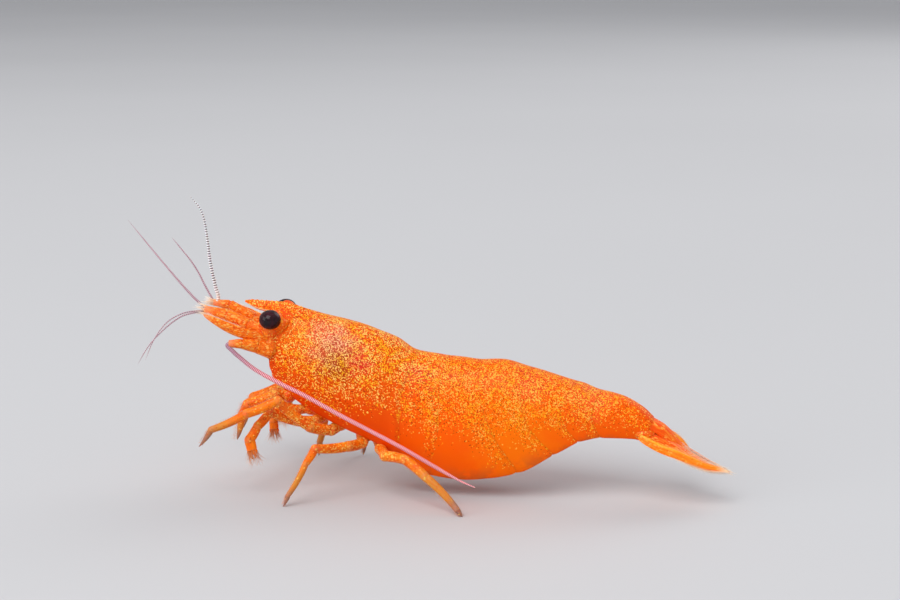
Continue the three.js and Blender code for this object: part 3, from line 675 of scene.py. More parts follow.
telson = blade("telson_plate", TELSON, fan_paint, 0, tilt=0.0, thick=0.3, camber=0.35, rib=0.03)
settle(telson, "shell", "telson")
for side, way in SIDES:
    route, tilt = mirrored(INNER_BLADE, way), -INNER_TILT * way
    inner = blade(f"fan_inner_{side}", route, fan_paint, 1, tilt, thick=0.07, camber=0.18, rib=0.05)
    settle(inner, "shell", f"uropod_inner_{side}")
    route, tilt = mirrored(OUTER_BLADES[side], way), -OUTER_TILTS[side] * way
    outer = blade(f"fan_outer_{side}", route, fan_paint, 2, tilt, thick=0.07, camber=0.18, rib=0.07, knob=1.8)
    settle(outer, "shell", f"uropod_outer_{side}")

# ---- Soft skin -----------------------------------------------------------------------------------
# One skin of thin soft cuticle carries the face between the eyes, the eye stalks, the keel that the legs hang
# from and the flesh inside the shell. Its rough lumps are run together into one surface and smoothed.
FLESH_DEPTH = 0.24
HOLLOW_HEIGHTS = [(0, 0.18), (3, 0.2), (5, 0.3), (8, 0.28), (9, 0.08), (10, 0.05)]
hollow_height = smooth_line(HOLLOW_HEIGHTS)


def lump(centre, reach, rows=16, columns=20):
    """A closed oval lump."""
    rise = np.linspace(-np.pi / 2, np.pi / 2, rows + 2)[1:-1, None]
    angle = np.linspace(0, 2 * np.pi, columns, endpoint=False)[None, :]
    parts = np.sin(rise), np.cos(rise) * np.cos(angle), np.cos(rise) * np.sin(angle)
    return closed_rings(np.array(centre) + np.stack(np.broadcast_arrays(*parts), axis=-1) * np.array(reach))


def stick(start, end, thick_start, thick_end, rows=10, columns=16):
    """A closed round bar between two points."""
    start, end = np.array(start, float), np.array(end, float)
    ahead = (end - start) / np.linalg.norm(end - start)
    side = np.cross(ahead, (0.0, 0.0, 1.0))
    side /= np.linalg.norm(side)
    up = np.cross(ahead, side)
    t = np.linspace(0, 1, rows)[:, None]
    angle = np.linspace(0, 2 * np.pi, columns, endpoint=False)[None, :]
    thick = (thick_start + (thick_end - thick_start) * t)[..., None]
    ring = side * np.cos(angle)[..., None] + up * np.sin(angle)[..., None]
    return closed_rings(start + (end - start) * t[..., None] + ring * thick)


# The flesh of the trunk, flat underneath where the limbs and the swimmerets hang.
s = np.linspace(0.25, 9.9, 90)[:, None]
share = np.linspace(-1, 1, 40)[None, :]
floor_turn = np.arccos(1 - hollow_height(s) / WIDEST) / (np.pi / 2) * LOW_SHARE
outside, _ = trunk(s, share * (1 - floor_turn), -FLESH_DEPTH)
outside = outside[:, ::-1]
under = np.linspace(0, 1, 10)[None, 1:-1, None]
below = outside[:, -1:] * (1 - under) + outside[:, :1] * under
lumps = [closed_rings(np.concatenate([outside, below], axis=1)[::-1])]

# The keel, the face down its middle line, the tail's root, then each side's eye stalk, cheeks, rim of the eye
# socket and the sockets of the limbs. The reaches are along, across and up.
lumps += [lump((x, 0, belly_height(x) + 0.5), (1.1, 0.8, 0.5)) for x in (-9.2, -8.2, -7.2, -6.2, -5.2, -4.5)]
lumps += [lump((x, 0, z), reach) for x, z, reach in [
    (-10.5, 9.5, (0.85, 0.7, 0.62)), (-10.35, 8.4, (0.6, 1.15, 1.5)), (-10.35, 7.3, (0.6, 0.85, 0.7)),
    (11.5, 4.5, (0.9, 0.62, 0.5)),
]]
for way in (-1, 1):
    eye = (EYE_AT[0], EYE_AT[1] * way, EYE_AT[2])
    lumps += [stick((-10.45, 0.3 * way, 9.75), eye, 0.36, 0.42)]
    lumps += [lump((x, y * way, z), reach) for x, y, z, reach in [
        (EYE_AT[0] + 0.12, EYE_AT[1] - 0.2, EYE_AT[2] - 0.03, (0.6, 0.56, 0.6)),
        (-10.2, 0.62, 6.75, (0.45, 0.42, 0.6)), (-10.5, 1.05, 8.4, (0.5, 0.5, 0.7)),
        (-10.55, 1.0, 9.3, (0.5, 0.55, 0.5)), (11.3, 0.6, 4.2, (0.75, 0.42, 0.34)),
    ]]
    for turn in np.radians(range(-150, -6, 12)):
        rim_at = (eye[0] + 0.82 * np.cos(turn), 1.15 * way, eye[2] + 0.8 * np.sin(turn))
        lumps += [lump(rim_at, (0.23, 0.3, 0.23), rows=8, columns=12)]
    for x, z in ((-9.5, 5.45), (-8.2, 4.75), (-7.45, 4.35), (-6.45, 3.85), (-5.0, 3.2), (-3.95, 2.85)):
        lumps += [lump((x, 0.85 * way, z + 0.05), (0.48, 0.6, 0.5))]

points, faces = [], []
for lump_points, lump_faces in lumps:
    base = sum(len(p) for p in points)
    points.append(lump_points)
    faces += [tuple(k + base for k in face) for face in lump_faces]

soft_paint, tree, shader = plain_material("soft_cuticle", {
    "Roughness": 0.42, "Specular IOR Level": 0.18, "Coat Weight": 0.08, "Coat Roughness": 0.15,
    "Subsurface Weight": 0.5, "Subsurface Radius": (1.0, 0.3, 0.05), "Subsurface Scale": 0.0004})
place = use(tree, millimetres)["Place"]
slow = cloud(tree, place, 1.3, 3.0)
tone = blend(tree, ramp(tree, slow, 0.35, 0.65), colour(0xF65A02), colour(0xFF7A0C))
surround = use(tree, eye_surround, {"Place": place})
tone = wash(tree, tone, 0xD83A02, surround["Rings"], ramp(tree, surround["Far"], 0.8, 1.6, 0.3, 0.0))
cover = ramp(tree, surround["Far"], 0.68, 1.3, 0.3, 0.75)
tone, _ = fleck_over(tree, tone, place, 11.0, cover, (0xB83402, 0.5), (0xFFB648, 0.8))
creases = cloud(tree, place, 6.0, 3.0, Distortion=1.0)
finish_paint(tree, shader, tone, creases, strength=0.4, deep=0.00004)

rough = make_mesh("rough_lumps", np.concatenate(points), faces, soft_paint)


def finished_mesh(rough, name):
    """The plain mesh that an object's modifiers make, as a new object. The rough one is removed."""
    shown = rough.evaluated_get(bpy.context.evaluated_depsgraph_get())
    mesh = bpy.data.meshes.new_from_object(shown)
    mesh.name = name
    piece = bpy.data.objects.new(name, mesh)
    show(piece)
    bpy.data.objects.remove(rough)
    return piece


merge = rough.modifiers.new("run together", "REMESH")
merge.mode, merge.voxel_size, merge.use_smooth_shade = "VOXEL", 0.11, True
ease = rough.modifiers.new("smooth", "SMOOTH")
ease.factor, ease.iterations = 0.5, 6
skin = finished_mesh(rough, "skin")
settle(skin, "soft_skin", "brow", "sternum", "eyestalk_left", "eyestalk_right")

# ---- Eyes ----------------------------------------------------------------------------------------
# Each eye is a black ball of many small facets under a wet clear skin, set on the end of its stalk. The
# facets are the cells of an even net, each raised a little and drawn in at the top.


def geometry_tree(name, inputs):
    """An empty Geometry Nodes tree with named inputs. Returns it, its input sockets and its output node."""
    tree = bpy.data.node_groups.new(name, "GeometryNodeTree")
    tree.interface.new_socket("Geometry", in_out="INPUT", socket_type="NodeSocketGeometry")
    for label, kind in inputs.items():
        tree.interface.new_socket(label, in_out="INPUT", socket_type=f"NodeSocket{kind}")
    tree.interface.new_socket("Geometry", in_out="OUTPUT", socket_type="NodeSocketGeometry")
    return tree, put(tree, "NodeGroupInput").outputs, put(tree, "NodeGroupOutput")


def close_tree(tree, geometry, material, end):
    """Every tree ends alike: instances made real, then the material."""
    real = put(tree, "GeometryNodeRealizeInstances", {0: geometry})
    painted = put(tree, "GeometryNodeSetMaterial", {"Geometry": real.outputs[0], "Material": material})
    tree.links.new(painted.outputs[0], end.inputs[0])


def grow(name, base, tree, **values):
    """Runs a tree on a base mesh and returns the result as a plain mesh in an object of its own."""
    holder = bpy.data.objects.new(f"{name}_base", base)
    show(holder)
    modifier = holder.modifiers.new(name, "NODES")
    modifier.node_group = tree
    for item in tree.interface.items_tree:
        label = item.name.replace(" ", "_").lower()
        if item.in_out == "INPUT" and label in values:
            modifier[item.identifier] = values[label]
    piece = finished_mesh(holder, name)
    piece.data.shade_smooth()
    return piece


facet_tree, given, end = geometry_tree("Faceted eye", {
    "Radius": "Float", "Facet height": "Float", "Facet share": "Float", "Material": "Material"})
ball = put(facet_tree, "GeometryNodeMeshIcoSphere", {"Radius": given["Radius"], "Subdivisions": 5})
cells = put(facet_tree, "GeometryNodeDualMesh", {0: ball.outputs[0]})
wires = {"Mesh": cells.outputs[0], "Offset Scale": given["Facet height"], "Individual": True}
raised = put(facet_tree, "GeometryNodeExtrudeMesh", wires, mode="FACES").outputs
topped = put(facet_tree, "GeometryNodeScaleElements", {
    "Geometry": raised["Mesh"], "Selection": raised["Top"], "Scale": given["Facet share"]})
close_tree(facet_tree, topped.outputs[0], given["Material"], end)

eye_paint, tree, shader = plain_material("eye_black", {
    "Roughness": 0.2, "Specular IOR Level": 0.05, "Coat Weight": 0.4, "Coat Roughness": 0.03})
place = use(tree, millimetres)["Place"]
murk = ramp(tree, cloud(tree, place, 2.5, 3.0), 0.35, 0.7)
tree.links.new(blend(tree, murk, colour(0x12030A), colour(0x3A0C1A)), shader.inputs["Base Color"])
EYE_FLATNESS = 0.88
for side, way in SIDES:
    eye = grow(
        f"eye_ball_{side}", bpy.data.meshes.new("eye_base"), facet_tree,
        radius=EYE_RADIUS, facet_height=0.0015, facet_share=0.9, material=eye_paint)
    eye.data.set_sharp_from_angle(angle=radians(20))
    for vertex in eye.data.vertices:
        vertex.co.z *= EYE_FLATNESS
        vertex.co += Vector((EYE_AT[0], EYE_AT[1] * way, EYE_AT[2]))
    settle(eye, "eye", f"eye_{side}")

# ---- Antennules, antenna bases and scales --------------------------------------------------------
# Under the beak each side has a three-jointed stem, a stout antenna base and, outside them, a flat oval
# scale. They are thin shell over soft flesh, ribbed lengthwise.
limb_paint, tree, shader = plain_material("limb_chitin", {
    "Roughness": 0.4, "Specular IOR Level": 0.12, "Coat Weight": 0.06, "Coat Roughness": 0.14,
    "Subsurface Weight": 0.25, "Subsurface Radius": (1.0, 0.3, 0.05), "Subsurface Scale": 0.00015})
place = use(tree, millimetres)["Place"]
length, round_it, joint = marks_of(tree, "limb_place")
slow = cloud(tree, place, 1.5, 3.0)
tone = blend(tree, ramp(tree, slow, 0.35, 0.65), colour(0xF25E06), colour(0xFF8210))
far = blend(tree, ramp(tree, length, 0.82, 0.94), colour(0xCE8E3A), colour(0x747470))
height = put(tree, "ShaderNodeSeparateXYZ", {0: place}).outputs[2]
near_floor = product(tree, ramp(tree, height, 1.6, 2.9, 1.0, 0.0), ramp(tree, length, 0.48, 0.6))
browned = sums(tree, "MAXIMUM", near_floor, ramp(tree, length, 0.66, 0.84))
tone = blend(tree, product(tree, browned, 0.85), tone, far)
lined = use(tree, streaks, {"Along": length, "Round": round_it, "Girth": 0.35, "Fineness": 8.0})["Streaks"]
tone = wash(tree, tone, 0xD8680C, lined, 0.35)
# Pale pink round the joints: partly the paler joint skin, partly painted highlight on the knees.
tone = wash(tree, tone, 0xFF9A68, joint, 0.3)
cover = ramp(tree, length, 0.1, 0.7, 0.8, 0.1)
tone, grains = fleck_over(tree, tone, place, 10.0, cover, (0xB83C04, 0.6), (0xFFC85C, 0.85))
finish_paint(tree, shader, tone, grains, strength=0.2, deep=0.00002)


class Limb:
    """The articles and joints of one limb, gathered into one mesh."""

    def __init__(self):
        self.points, self.faces, self.marks, self.count = [], [], [], 0

    def take(self, points, faces, marks):
        """Adds a closed part, with the marks that its points carry."""
        self.points.append(points)
        self.marks.append(marks)
        self.faces += [tuple(k + self.count for k in face) for face in faces]
        self.count += len(points)

    def piece(self, name, paint=limb_paint):
        marks = {"limb_place": np.concatenate(self.marks)}
        return make_mesh(name, np.concatenate(self.points), self.faces, paint, marks)


# How thick an article is along its length, as a share of its radius: a middle one and a last one.
FULL_PROFILE = ((0, 0.03, 0.1, 0.3, 0.7, 0.9, 0.97, 1), (0.75, 0.92, 0.97, 1.0, 1.0, 1.0, 1.04, 0.95))
TIP_PROFILE = ((0, 0.04, 0.15, 0.5, 0.8, 0.94, 1), (0.7, 0.92, 1.0, 0.9, 0.6, 0.3, 0.08))
# Limbs are a little flattened, articles arch slightly, and a knee is a shade slimmer than its articles.
SQUEEZE, LEG_BOW, KNEE_SIZE = 0.88, 0.03, 0.98


def limb_frame(start, end):
    """The way from start to end, then the directions sideways and upwards across it."""
    ahead = (end - start) / np.linalg.norm(end - start)
    side = np.array((0.0, 1.0, 0.0)) - ahead * ahead[1]
    side /= np.linalg.norm(side)
    return ahead, side, np.cross(ahead, side)


def article(limb, ends, thick, share, squeeze=SQUEEZE, bow=0.0, tip=False, rows=26, columns=20):
    """One article of a limb: narrow where it sits in the joint before, fuller along its length, and flared
    into a rim round the next joint, or drawn to a point. ends, thick and share give for each end its point,
    its radius and where it lies along the whole limb. Gives the upward direction."""
    start, end = np.array(ends, float)
    _, side, up = limb_frame(start, end)
    t = np.linspace(0, 1, rows)
    thick = (thick[0] + (thick[1] - thick[0]) * t) * np.interp(t, *(TIP_PROFILE if tip else FULL_PROFILE))
    angle = np.linspace(0, 2 * np.pi, columns, endpoint=False)
    arching = bow * np.linalg.norm(end - start) * 4 * t * (1 - t)
    centre = start + (end - start) * t[:, None] + up * arching[:, None]
    hoop = squeeze * side * np.cos(angle)[:, None] + up * np.sin(angle)[:, None]
    points, quads = closed_rings(centre[:, None] + thick[:, None, None] * hoop)
    length = share[0] + (share[1] - share[0]) * t[:, None]
    joint = np.maximum(hump(t, 1, 0.06), 0.6 * hump(t, 0, 0.05))[:, None] * (not tip)
    marks = np.stack(np.broadcast_arrays(length, angle / (2 * np.pi), joint), axis=-1)
    limb.take(points, quads, np.concatenate([marks.reshape(-1, 3), marks[0, :1], marks[-1, :1]]))
    return up


def knee(limb, at, thick, share):
    """The rounded joint between two articles. share is where it lies along the whole limb."""
    points, faces = lump(at, (thick,) * 3, rows=12, columns=18)
    limb.take(points, faces, np.broadcast_to((share, 0.0, 0.6), (len(points), 3)))


def shares_along(route):
    """Where each joint of a route lies along it, 0 to 1."""
    lengths = [np.linalg.norm(np.subtract(b[:3], a[:3])) for a, b in zip(route, route[1:])]
    return np.concatenate([[0], np.cumsum(lengths)]) / sum(lengths)


def jointed_limb(name, route, node, bow=LEG_BOW, pointed=True, paint=limb_paint, knee_size=KNEE_SIZE):
    """A limb of articles from joint to joint of a route, with a rounded knee at each joint."""
    limb = Limb()
    gone = shares_along(route)
    for k, (a, b) in enumerate(zip(route, route[1:])):
        last = k == len(route) - 2
        article(limb, (a[:3], b[:3]), (a[3], b[3]), gone[k:k + 2], bow=bow, tip=last and pointed)
        if k > 0:
            knee(limb, a[:3], a[3] * knee_size, gone[k])
    settle(limb.piece(name, paint), "limb", node)


head_paint, tree, shader = plain_material("streaked_chitin", {
    "Roughness": 0.4, "Specular IOR Level": 0.1, "Coat Weight": 0.05, "Coat Roughness": 0.14,
    "Subsurface Weight": 0.2, "Subsurface Radius": (1.0, 0.3, 0.05), "Subsurface Scale": 0.00015})
place = use(tree, millimetres)["Place"]
length, round_it, joint = marks_of(tree, "limb_place")
lined = use(tree, streaks, {"Along": length, "Round": round_it, "Girth": 0.5, "Fineness": 8.0})["Streaks"]
shorter = product(tree, length, 3.0)
fine = use(tree, streaks, {"Along": shorter, "Round": round_it, "Girth": 0.9, "Fineness": 14.0})["Streaks"]
tone = blend(tree, lined, colour(0xF05002), colour(0xFF7A08))
tone = wash(tree, tone, 0xFFA83C, fine, 0.5)
stretched = vectors(tree, "MULTIPLY", place, (0.45, 1, 0.9))[0]
tone, _ = fleck_over(tree, tone, stretched, 10.0, 0.55, (0xD03C02, 0.5), (0xFFBE5C, 0.75))
tone = wash(tree, tone, 0xD84A08, joint, 0.2)
tone = wash(tree, tone, 0xF89C70, ramp(tree, length, 0.8, 1.0, 0.0, 0.65))
finish_paint(tree, shader, tone, lined, strength=0.5, deep=0.00003)

STEMS = {
    "left": [
        (-10.9, 0.7, 9.05, 0.38), (-12.0, 0.62, 9.52, 0.4),
        (-13.3, 0.56, 10.06, 0.39), (-14.7, 0.5, 10.32, 0.25),
    ],
    "right": [
        (-10.9, 0.7, 9.05, 0.36), (-12.05, 0.6, 9.63, 0.38),
        (-13.5, 0.53, 10.45, 0.31), (-14.5, 0.5, 10.56, 0.18),
    ],
}
ANTENNA_BASE = [
    (-10.4, 1.15, 8.15, 0.5), (-11.2, 1.5, 8.48, 0.42), (-12.0, 1.9, 8.7, 0.31), (-12.75, 2.1, 8.72, 0.2),
]
SCALE = [
    (-10.7, 1.15, 8.75, 0.42), (-11.7, 1.35, 9.12, 0.58),
    (-12.5, 1.5, 9.42, 0.62), (-13.13, 1.58, 9.7, 0.54), (-13.73, 1.6, 9.98, 0.38),
    (-14.15, 1.58, 10.17, 0.2), (-14.4, 1.56, 10.28, 0.04),
]
SCALE_TILT = 0.75
for side, way in SIDES:
    blunt = {"bow": 0.0, "pointed": False, "paint": head_paint, "knee_size": 0.8}
    jointed_limb(f"antennule_stem_{side}", mirrored(STEMS[side], way), f"antennule_{side}", **blunt)
    jointed_limb(f"antenna_stump_{side}", mirrored(ANTENNA_BASE, way), f"antenna_base_{side}", **blunt)
    route, tilt = mirrored(SCALE, way), -SCALE_TILT * way
    scale = blade(f"antenna_scale_plate_{side}", route, head_paint, 1, tilt, thick=0.13, camber=0.3, rib=0.06)
    settle(scale, "limb", f"antenna_scale_{side}")

# ---- Feelers -------------------------------------------------------------------------------------
# Each feeler is a whip of hundreds of short ringed joints, thinner to the tip. The left antenna's turns back
# and trails down the flank and the right one reaches forward. Each antennule carries an outer and an inner
# whip, held on by its stem's last joint.


def store(tree, geometry, name, value, kind, domain="POINT"):
    """Keeps a value on the geometry, under a name that its material or a later node reads."""
    wires = {"Geometry": geometry, "Name": name, "Value": value}
    return put(tree, "GeometryNodeStoreNamedAttribute", wires, data_type=kind, domain=domain).outputs[0]


def combined(tree, *parts):
    """A vector from its x, y and z."""
    return put(tree, "ShaderNodeCombineXYZ", dict(enumerate(parts))).outputs[0]


ring_tree, given, end = geometry_tree("Ringed feeler", {
    "Root thickness": "Float", "Tip thickness": "Float", "Ring pitch": "Float", "Ring depth": "Float",
    "Material": "Material"})
line = put(ring_tree, "GeometryNodeMeshToCurve", {0: given["Geometry"]})
step = sums(ring_tree, "DIVIDE", given["Ring pitch"], 4.0)
wires = {"Curve": line.outputs[0], "Length": step}
stepped = put(ring_tree, "GeometryNodeResampleCurve", wires, mode="LENGTH")
spot = put(ring_tree, "GeometryNodeSplineParameter").outputs
turns = product(ring_tree, sums(ring_tree, "DIVIDE", spot["Length"], given["Ring pitch"]), 2 * np.pi)
wave = sums(ring_tree, "SINE", turns)
core = put(ring_tree, "ShaderNodeMapRange", {
    "Value": spot["Factor"], "To Min": given["Root thickness"], "To Max": given["Tip thickness"]}).outputs[0]
swell = sums(ring_tree, "MULTIPLY_ADD", wave, given["Ring depth"], 1.0)
tucked = put(ring_tree, "ShaderNodeMapRange", {
    "Value": spot["Factor"], "From Min": 0.86, "From Max": 1.0, "To Min": 1.0, "To Max": 0.25}).outputs[0]
thick = product(ring_tree, core, swell, tucked)
spot_mark = combined(ring_tree, spot["Factor"], wave)
marked = store(ring_tree, stepped.outputs[0], "feeler_place", spot_mark, "FLOAT_VECTOR")
hoop = put(ring_tree, "GeometryNodeCurvePrimitiveCircle", {"Resolution": 9, "Radius": 1.0})
whip = put(ring_tree, "GeometryNodeCurveToMesh", {
    "Curve": marked, "Profile Curve": hoop.outputs["Curve"], "Scale": thick, "Fill Caps": True})
close_tree(ring_tree, whip.outputs[0], given["Material"], end)


def feeler_paint(name, ring_tone, groove_tone, root_tone):
    """Translucent cuticle, pale on each ring and darker in the grooves, tinted near the root."""
    material, tree, shader = plain_material(name, {
        "Roughness": 0.3, "Specular IOR Level": 0.4, "Coat Weight": 0.25, "Coat Roughness": 0.08,
        "Subsurface Weight": 0.4, "Subsurface Radius": (1.0, 0.7, 0.6), "Subsurface Scale": 0.0001})
    length, wave, _ = marks_of(tree, "feeler_place")
    tone = blend(tree, ramp(tree, wave, -0.6, 0.5), colour(groove_tone), colour(ring_tone))
    tone = wash(tree, tone, root_tone, ramp(tree, length, 0.02, 0.22, 0.75, 0.0))
    tree.links.new(tone, shader.inputs["Base Color"])
    return material


pink_whip = feeler_paint("feeler_pink", 0xFFBEC2, 0xBC3C56, 0x8E7088)
white_whip = feeler_paint("feeler_white", 0xFFFFFF, 0x5A3A48, 0xF0DCD0)
mauve_whip = feeler_paint("feeler_mauve", 0xC8A6AE, 0x845C6C, 0xB09098)
TRAILING = [
    (-12.65, -2.08, 8.74), (-12.83, -2.13, 8.62), (-12.62, -2.18, 8.42), (-12.1, -2.25, 8.0),
    (-11.1, -2.35, 7.3), (-9.65, -2.45, 6.6), (-8.1, -2.55, 5.95), (-6.0, -2.7, 4.95), (-4.8, -2.75, 4.4),
    (-2.4, -2.85, 3.3), (-1.15, -3.0, 2.7), (0.05, -3.2, 2.15), (1.25, -3.45, 1.65), (2.15, -3.7, 1.4),
]
REACHING = [
    (-12.8, 2.1, 8.62), (-13.9, 2.25, 8.95), (-15.1, 2.35, 9.4), (-16.14, 2.45, 10.1),
    (-16.97, 2.65, 10.79), (-18.49, 3.2, 12.15), (-19.5, 3.8, 12.95), (-21.8, 5.6, 14.5),
]
OUTER_LEFT = [
    (-14.55, -0.52, 10.24), (-15.1, -0.6, 10.2), (-16.2, -0.7, 9.85),
    (-17.4, -0.8, 8.9), (-18.2, -0.9, 8.0), (-18.9, -0.9, 6.9),
]
INNER_LEFT = [
    (-14.55, -0.46, 10.2), (-15.1, -0.75, 10.28), (-15.9, -1.2, 10.18),
    (-16.7, -1.6, 9.7), (-17.4, -2.0, 8.7), (-17.9, -2.2, 7.5),
]
OUTER_RIGHT = [
    (-14.3, 0.5, 10.5), (-14.2, 0.5, 10.92), (-14.35, 0.48, 11.53),
    (-14.59, 0.4, 12.96), (-14.7, 0.3, 14.38), (-14.79, 0.2, 15.39),
    (-14.88, 0.15, 15.86), (-15.1, 0.1, 16.39), (-15.56, 0.0, 16.99),
]
INNER_RIGHT = [
    (-14.4, 0.52, 10.5), (-14.62, 0.6, 10.78), (-15.07, 0.75, 11.45), (-15.52, 0.9, 12.22),
    (-16.02, 1.0, 12.93), (-16.6, 1.1, 13.57), (-17.24, 1.2, 14.27),
]


def path_mesh(name, route, steps=160):
    """The smooth line through a route, as a chain of edges."""
    middle = along_route(route, steps)[0]
    mesh = bpy.data.meshes.new(name)
    mesh.from_pydata(middle.tolist(), [(k, k + 1) for k in range(steps - 1)], [])
    return mesh


# Each row: the piece, its route, the radii at root and tip, the rings' pitch and depth, the paint, the nodes.
for name, route, root, tip, pitch, depth, paint, *nodes in [
    ("antenna_whip_left", TRAILING, 0.13, 0.105, 0.1, 0.09, pink_whip,
        "antenna_left_1", "antenna_left_2", "antenna_left_3"),
    ("antenna_whip_right", REACHING, 0.11, 0.02, 0.1, 0.09, mauve_whip, "antenna_right_1", "antenna_right_2"),
    ("antennule_whip_outer_left", OUTER_LEFT, 0.06, 0.02, 0.12, 0.15, mauve_whip, "antennule_outer_left"),
    ("antennule_whip_inner_left", INNER_LEFT, 0.045, 0.018, 0.14, 0.15, mauve_whip, "antennule_inner_left"),
    ("antennule_whip_outer_right", OUTER_RIGHT, 0.12, 0.05, 0.15, 0.2, white_whip, "antennule_outer_right"),
    ("antennule_whip_inner_right", INNER_RIGHT, 0.07, 0.03, 0.12, 0.1, mauve_whip, "antennule_inner_right"),
]:
    whip = grow(
        name, path_mesh(name, route), ring_tree,
        root_thickness=root, tip_thickness=tip, ring_pitch=pitch, ring_depth=depth, material=paint)
    settle(whip, "feeler", *nodes)

# ---- Mouth limbs and legs ------------------------------------------------------------------------
# The third pair of mouth limbs, two pairs of small claws with brushes, and three pairs of walking legs that
# end in a single sharp claw. Each row: x, y, z and radius of a joint, from the root to the tip.
LIMBS = {
    "maxilliped_left": [
        (-9.5, -0.8, 5.45, 0.32), (-10.2, -1.4, 5.6, 0.36), (-11.75, -1.9, 5.05, 0.33),
        (-12.1, -2.0, 4.4, 0.26), (-12.4, -2.1, 2.9, 0.16),
    ],
    "maxilliped_right": [
        (-9.5, 0.8, 5.45, 0.32), (-10.6, 1.45, 5.4, 0.33), (-12.55, 1.65, 4.5, 0.3),
        (-13.0, 1.7, 3.6, 0.22), (-13.4, 1.7, 2.3, 0.13),
    ],
    "leg_1_left": [
        (-8.2, -0.8, 4.75, 0.28), (-8.8, -1.35, 4.75, 0.3), (-9.8, -1.9, 5.05, 0.27),
        (-10.15, -2.1, 4.2, 0.24), (-10.05, -2.2, 3.3, 0.24),
    ],
    "leg_1_right": [
        (-8.2, 0.8, 4.75, 0.28), (-8.8, 1.35, 4.85, 0.3), (-9.9, 1.9, 5.2, 0.27),
        (-10.5, 2.1, 4.2, 0.26), (-10.6, 2.2, 2.95, 0.3),
    ],
    "leg_2_left": [
        (-7.45, -0.8, 4.3, 0.32), (-7.8, -1.5, 4.15, 0.33),
        (-8.7, -2.2, 4.3, 0.33), (-10.05, -3.0, 5.0, 0.28), (-10.7, -3.4, 4.2, 0.27),
        (-11.15, -3.6, 3.4, 0.3), (-10.85, -3.7, 2.3, 0.28),
    ],
    "leg_2_right": [
        (-7.4, 0.8, 4.3, 0.32), (-7.8, 1.5, 4.2, 0.33), (-8.9, 2.2, 4.6, 0.33), (-10.3, 2.9, 5.3, 0.28),
        (-11.0, 3.1, 4.5, 0.27), (-11.4, 3.2, 3.7, 0.3), (-11.3, 3.3, 2.5, 0.28),
    ],
    "leg_3_left": [
        (-6.45, -0.8, 3.85, 0.34), (-6.8, -1.6, 3.65, 0.34),
        (-7.8, -2.6, 4.1, 0.33), (-9.4, -3.6, 5.85, 0.29), (-11.1, -4.2, 5.15, 0.27),
        (-13.1, -4.6, 4.2, 0.2), (-13.85, -4.7, 3.15, 0.1),
    ],
    "leg_3_right": [
        (-6.45, 0.8, 3.85, 0.34), (-6.8, 1.6, 3.7, 0.34), (-7.4, 2.5, 4.1, 0.33),
        (-8.2, 3.5, 4.6, 0.29), (-8.6, 3.9, 3.5, 0.26), (-9.2, 4.5, 1.0, 0.2), (-9.35, 4.7, 0, 0.1),
    ],
    "leg_4_left": [
        (-5.0, -0.8, 3.2, 0.34), (-4.9, -1.6, 3.0, 0.34),
        (-5.5, -2.8, 3.1, 0.32), (-7.05, -4.2, 3.3, 0.26), (-7.5, -4.6, 2.5, 0.2),
        (-8.45, -5.0, 0.7, 0.15), (-8.75, -5.1, 0, 0.08),
    ],
    "leg_4_right": [
        (-5.0, 0.8, 3.2, 0.34), (-4.9, 1.6, 3.0, 0.34), (-5.3, 2.8, 3.6, 0.32), (-5.8, 4.0, 3.8, 0.27),
        (-6.1, 4.5, 2.6, 0.25), (-6.5, 5.2, 0.8, 0.17), (-6.65, 5.4, 0, 0.09),
    ],
    "leg_5_left": [
        (-3.95, -0.8, 2.8, 0.34), (-3.85, -1.6, 2.7, 0.34),
        (-3.3, -2.7, 2.62, 0.33), (-1.9, -3.6, 2.75, 0.29), (-0.65, -4.1, 2.0, 0.27),
        (1.3, -4.75, 0.4, 0.19), (1.65, -4.85, 0, 0.09),
    ],
    "leg_5_right": [
        (-3.95, 0.8, 2.8, 0.34), (-3.9, 1.6, 2.65, 0.34), (-3.1, 2.8, 3.1, 0.33),
        (-1.8, 3.8, 3.3, 0.29), (-0.6, 4.4, 2.0, 0.27), (0.6, 5.1, 0.5, 0.19), (0.9, 5.2, 0, 0.09),
    ],
}
# The palm fills this share of the last article, and the fingers take the colours of these shares of a limb.
PALM_SHARE, PALM_SWELL = 0.52, 1.1
CLAW_FROM, CLAW_TO = 0.7, 0.78


def clawed_limb(name, route, node):
    """A limb that ends in a small claw: a swollen palm and two blunt fingers held nearly shut."""
    limb = Limb()
    gone = shares_along(route) * CLAW_FROM
    for k, (a, b) in enumerate(zip(route, route[1:])):
        if k > 0:
            knee(limb, a[:3], a[3] * KNEE_SIZE, gone[k])
        if k < len(route) - 2:
            article(limb, (a[:3], b[:3]), (a[3], b[3]), gone[k:k + 2], bow=LEG_BOW)
    start, stop, palm = np.array(a[:3]), np.array(b[:3]), (a[3] * PALM_SWELL, b[3] * PALM_SWELL)
    wrist = start + (stop - start) * PALM_SHARE
    up = article(limb, (start, wrist), palm, gone[-2:], squeeze=0.8, bow=0.02)
    for spread in (-1, 1):
        finger = wrist + up * 0.14 * spread, stop + up * 0.09 * spread
        thick = b[3] * 0.66, b[3] * 0.42
        article(limb, finger, thick, (CLAW_FROM, CLAW_TO), squeeze=0.9, bow=0.05 * spread, tip=True)
    settle(limb.piece(name), "limb", node)


CLAWED = ("leg_1", "leg_2")
for node, route in LIMBS.items():
    make_limb = clawed_limb if node.startswith(CLAWED) else jointed_limb
    make_limb(f"{node}_shell", route, node)

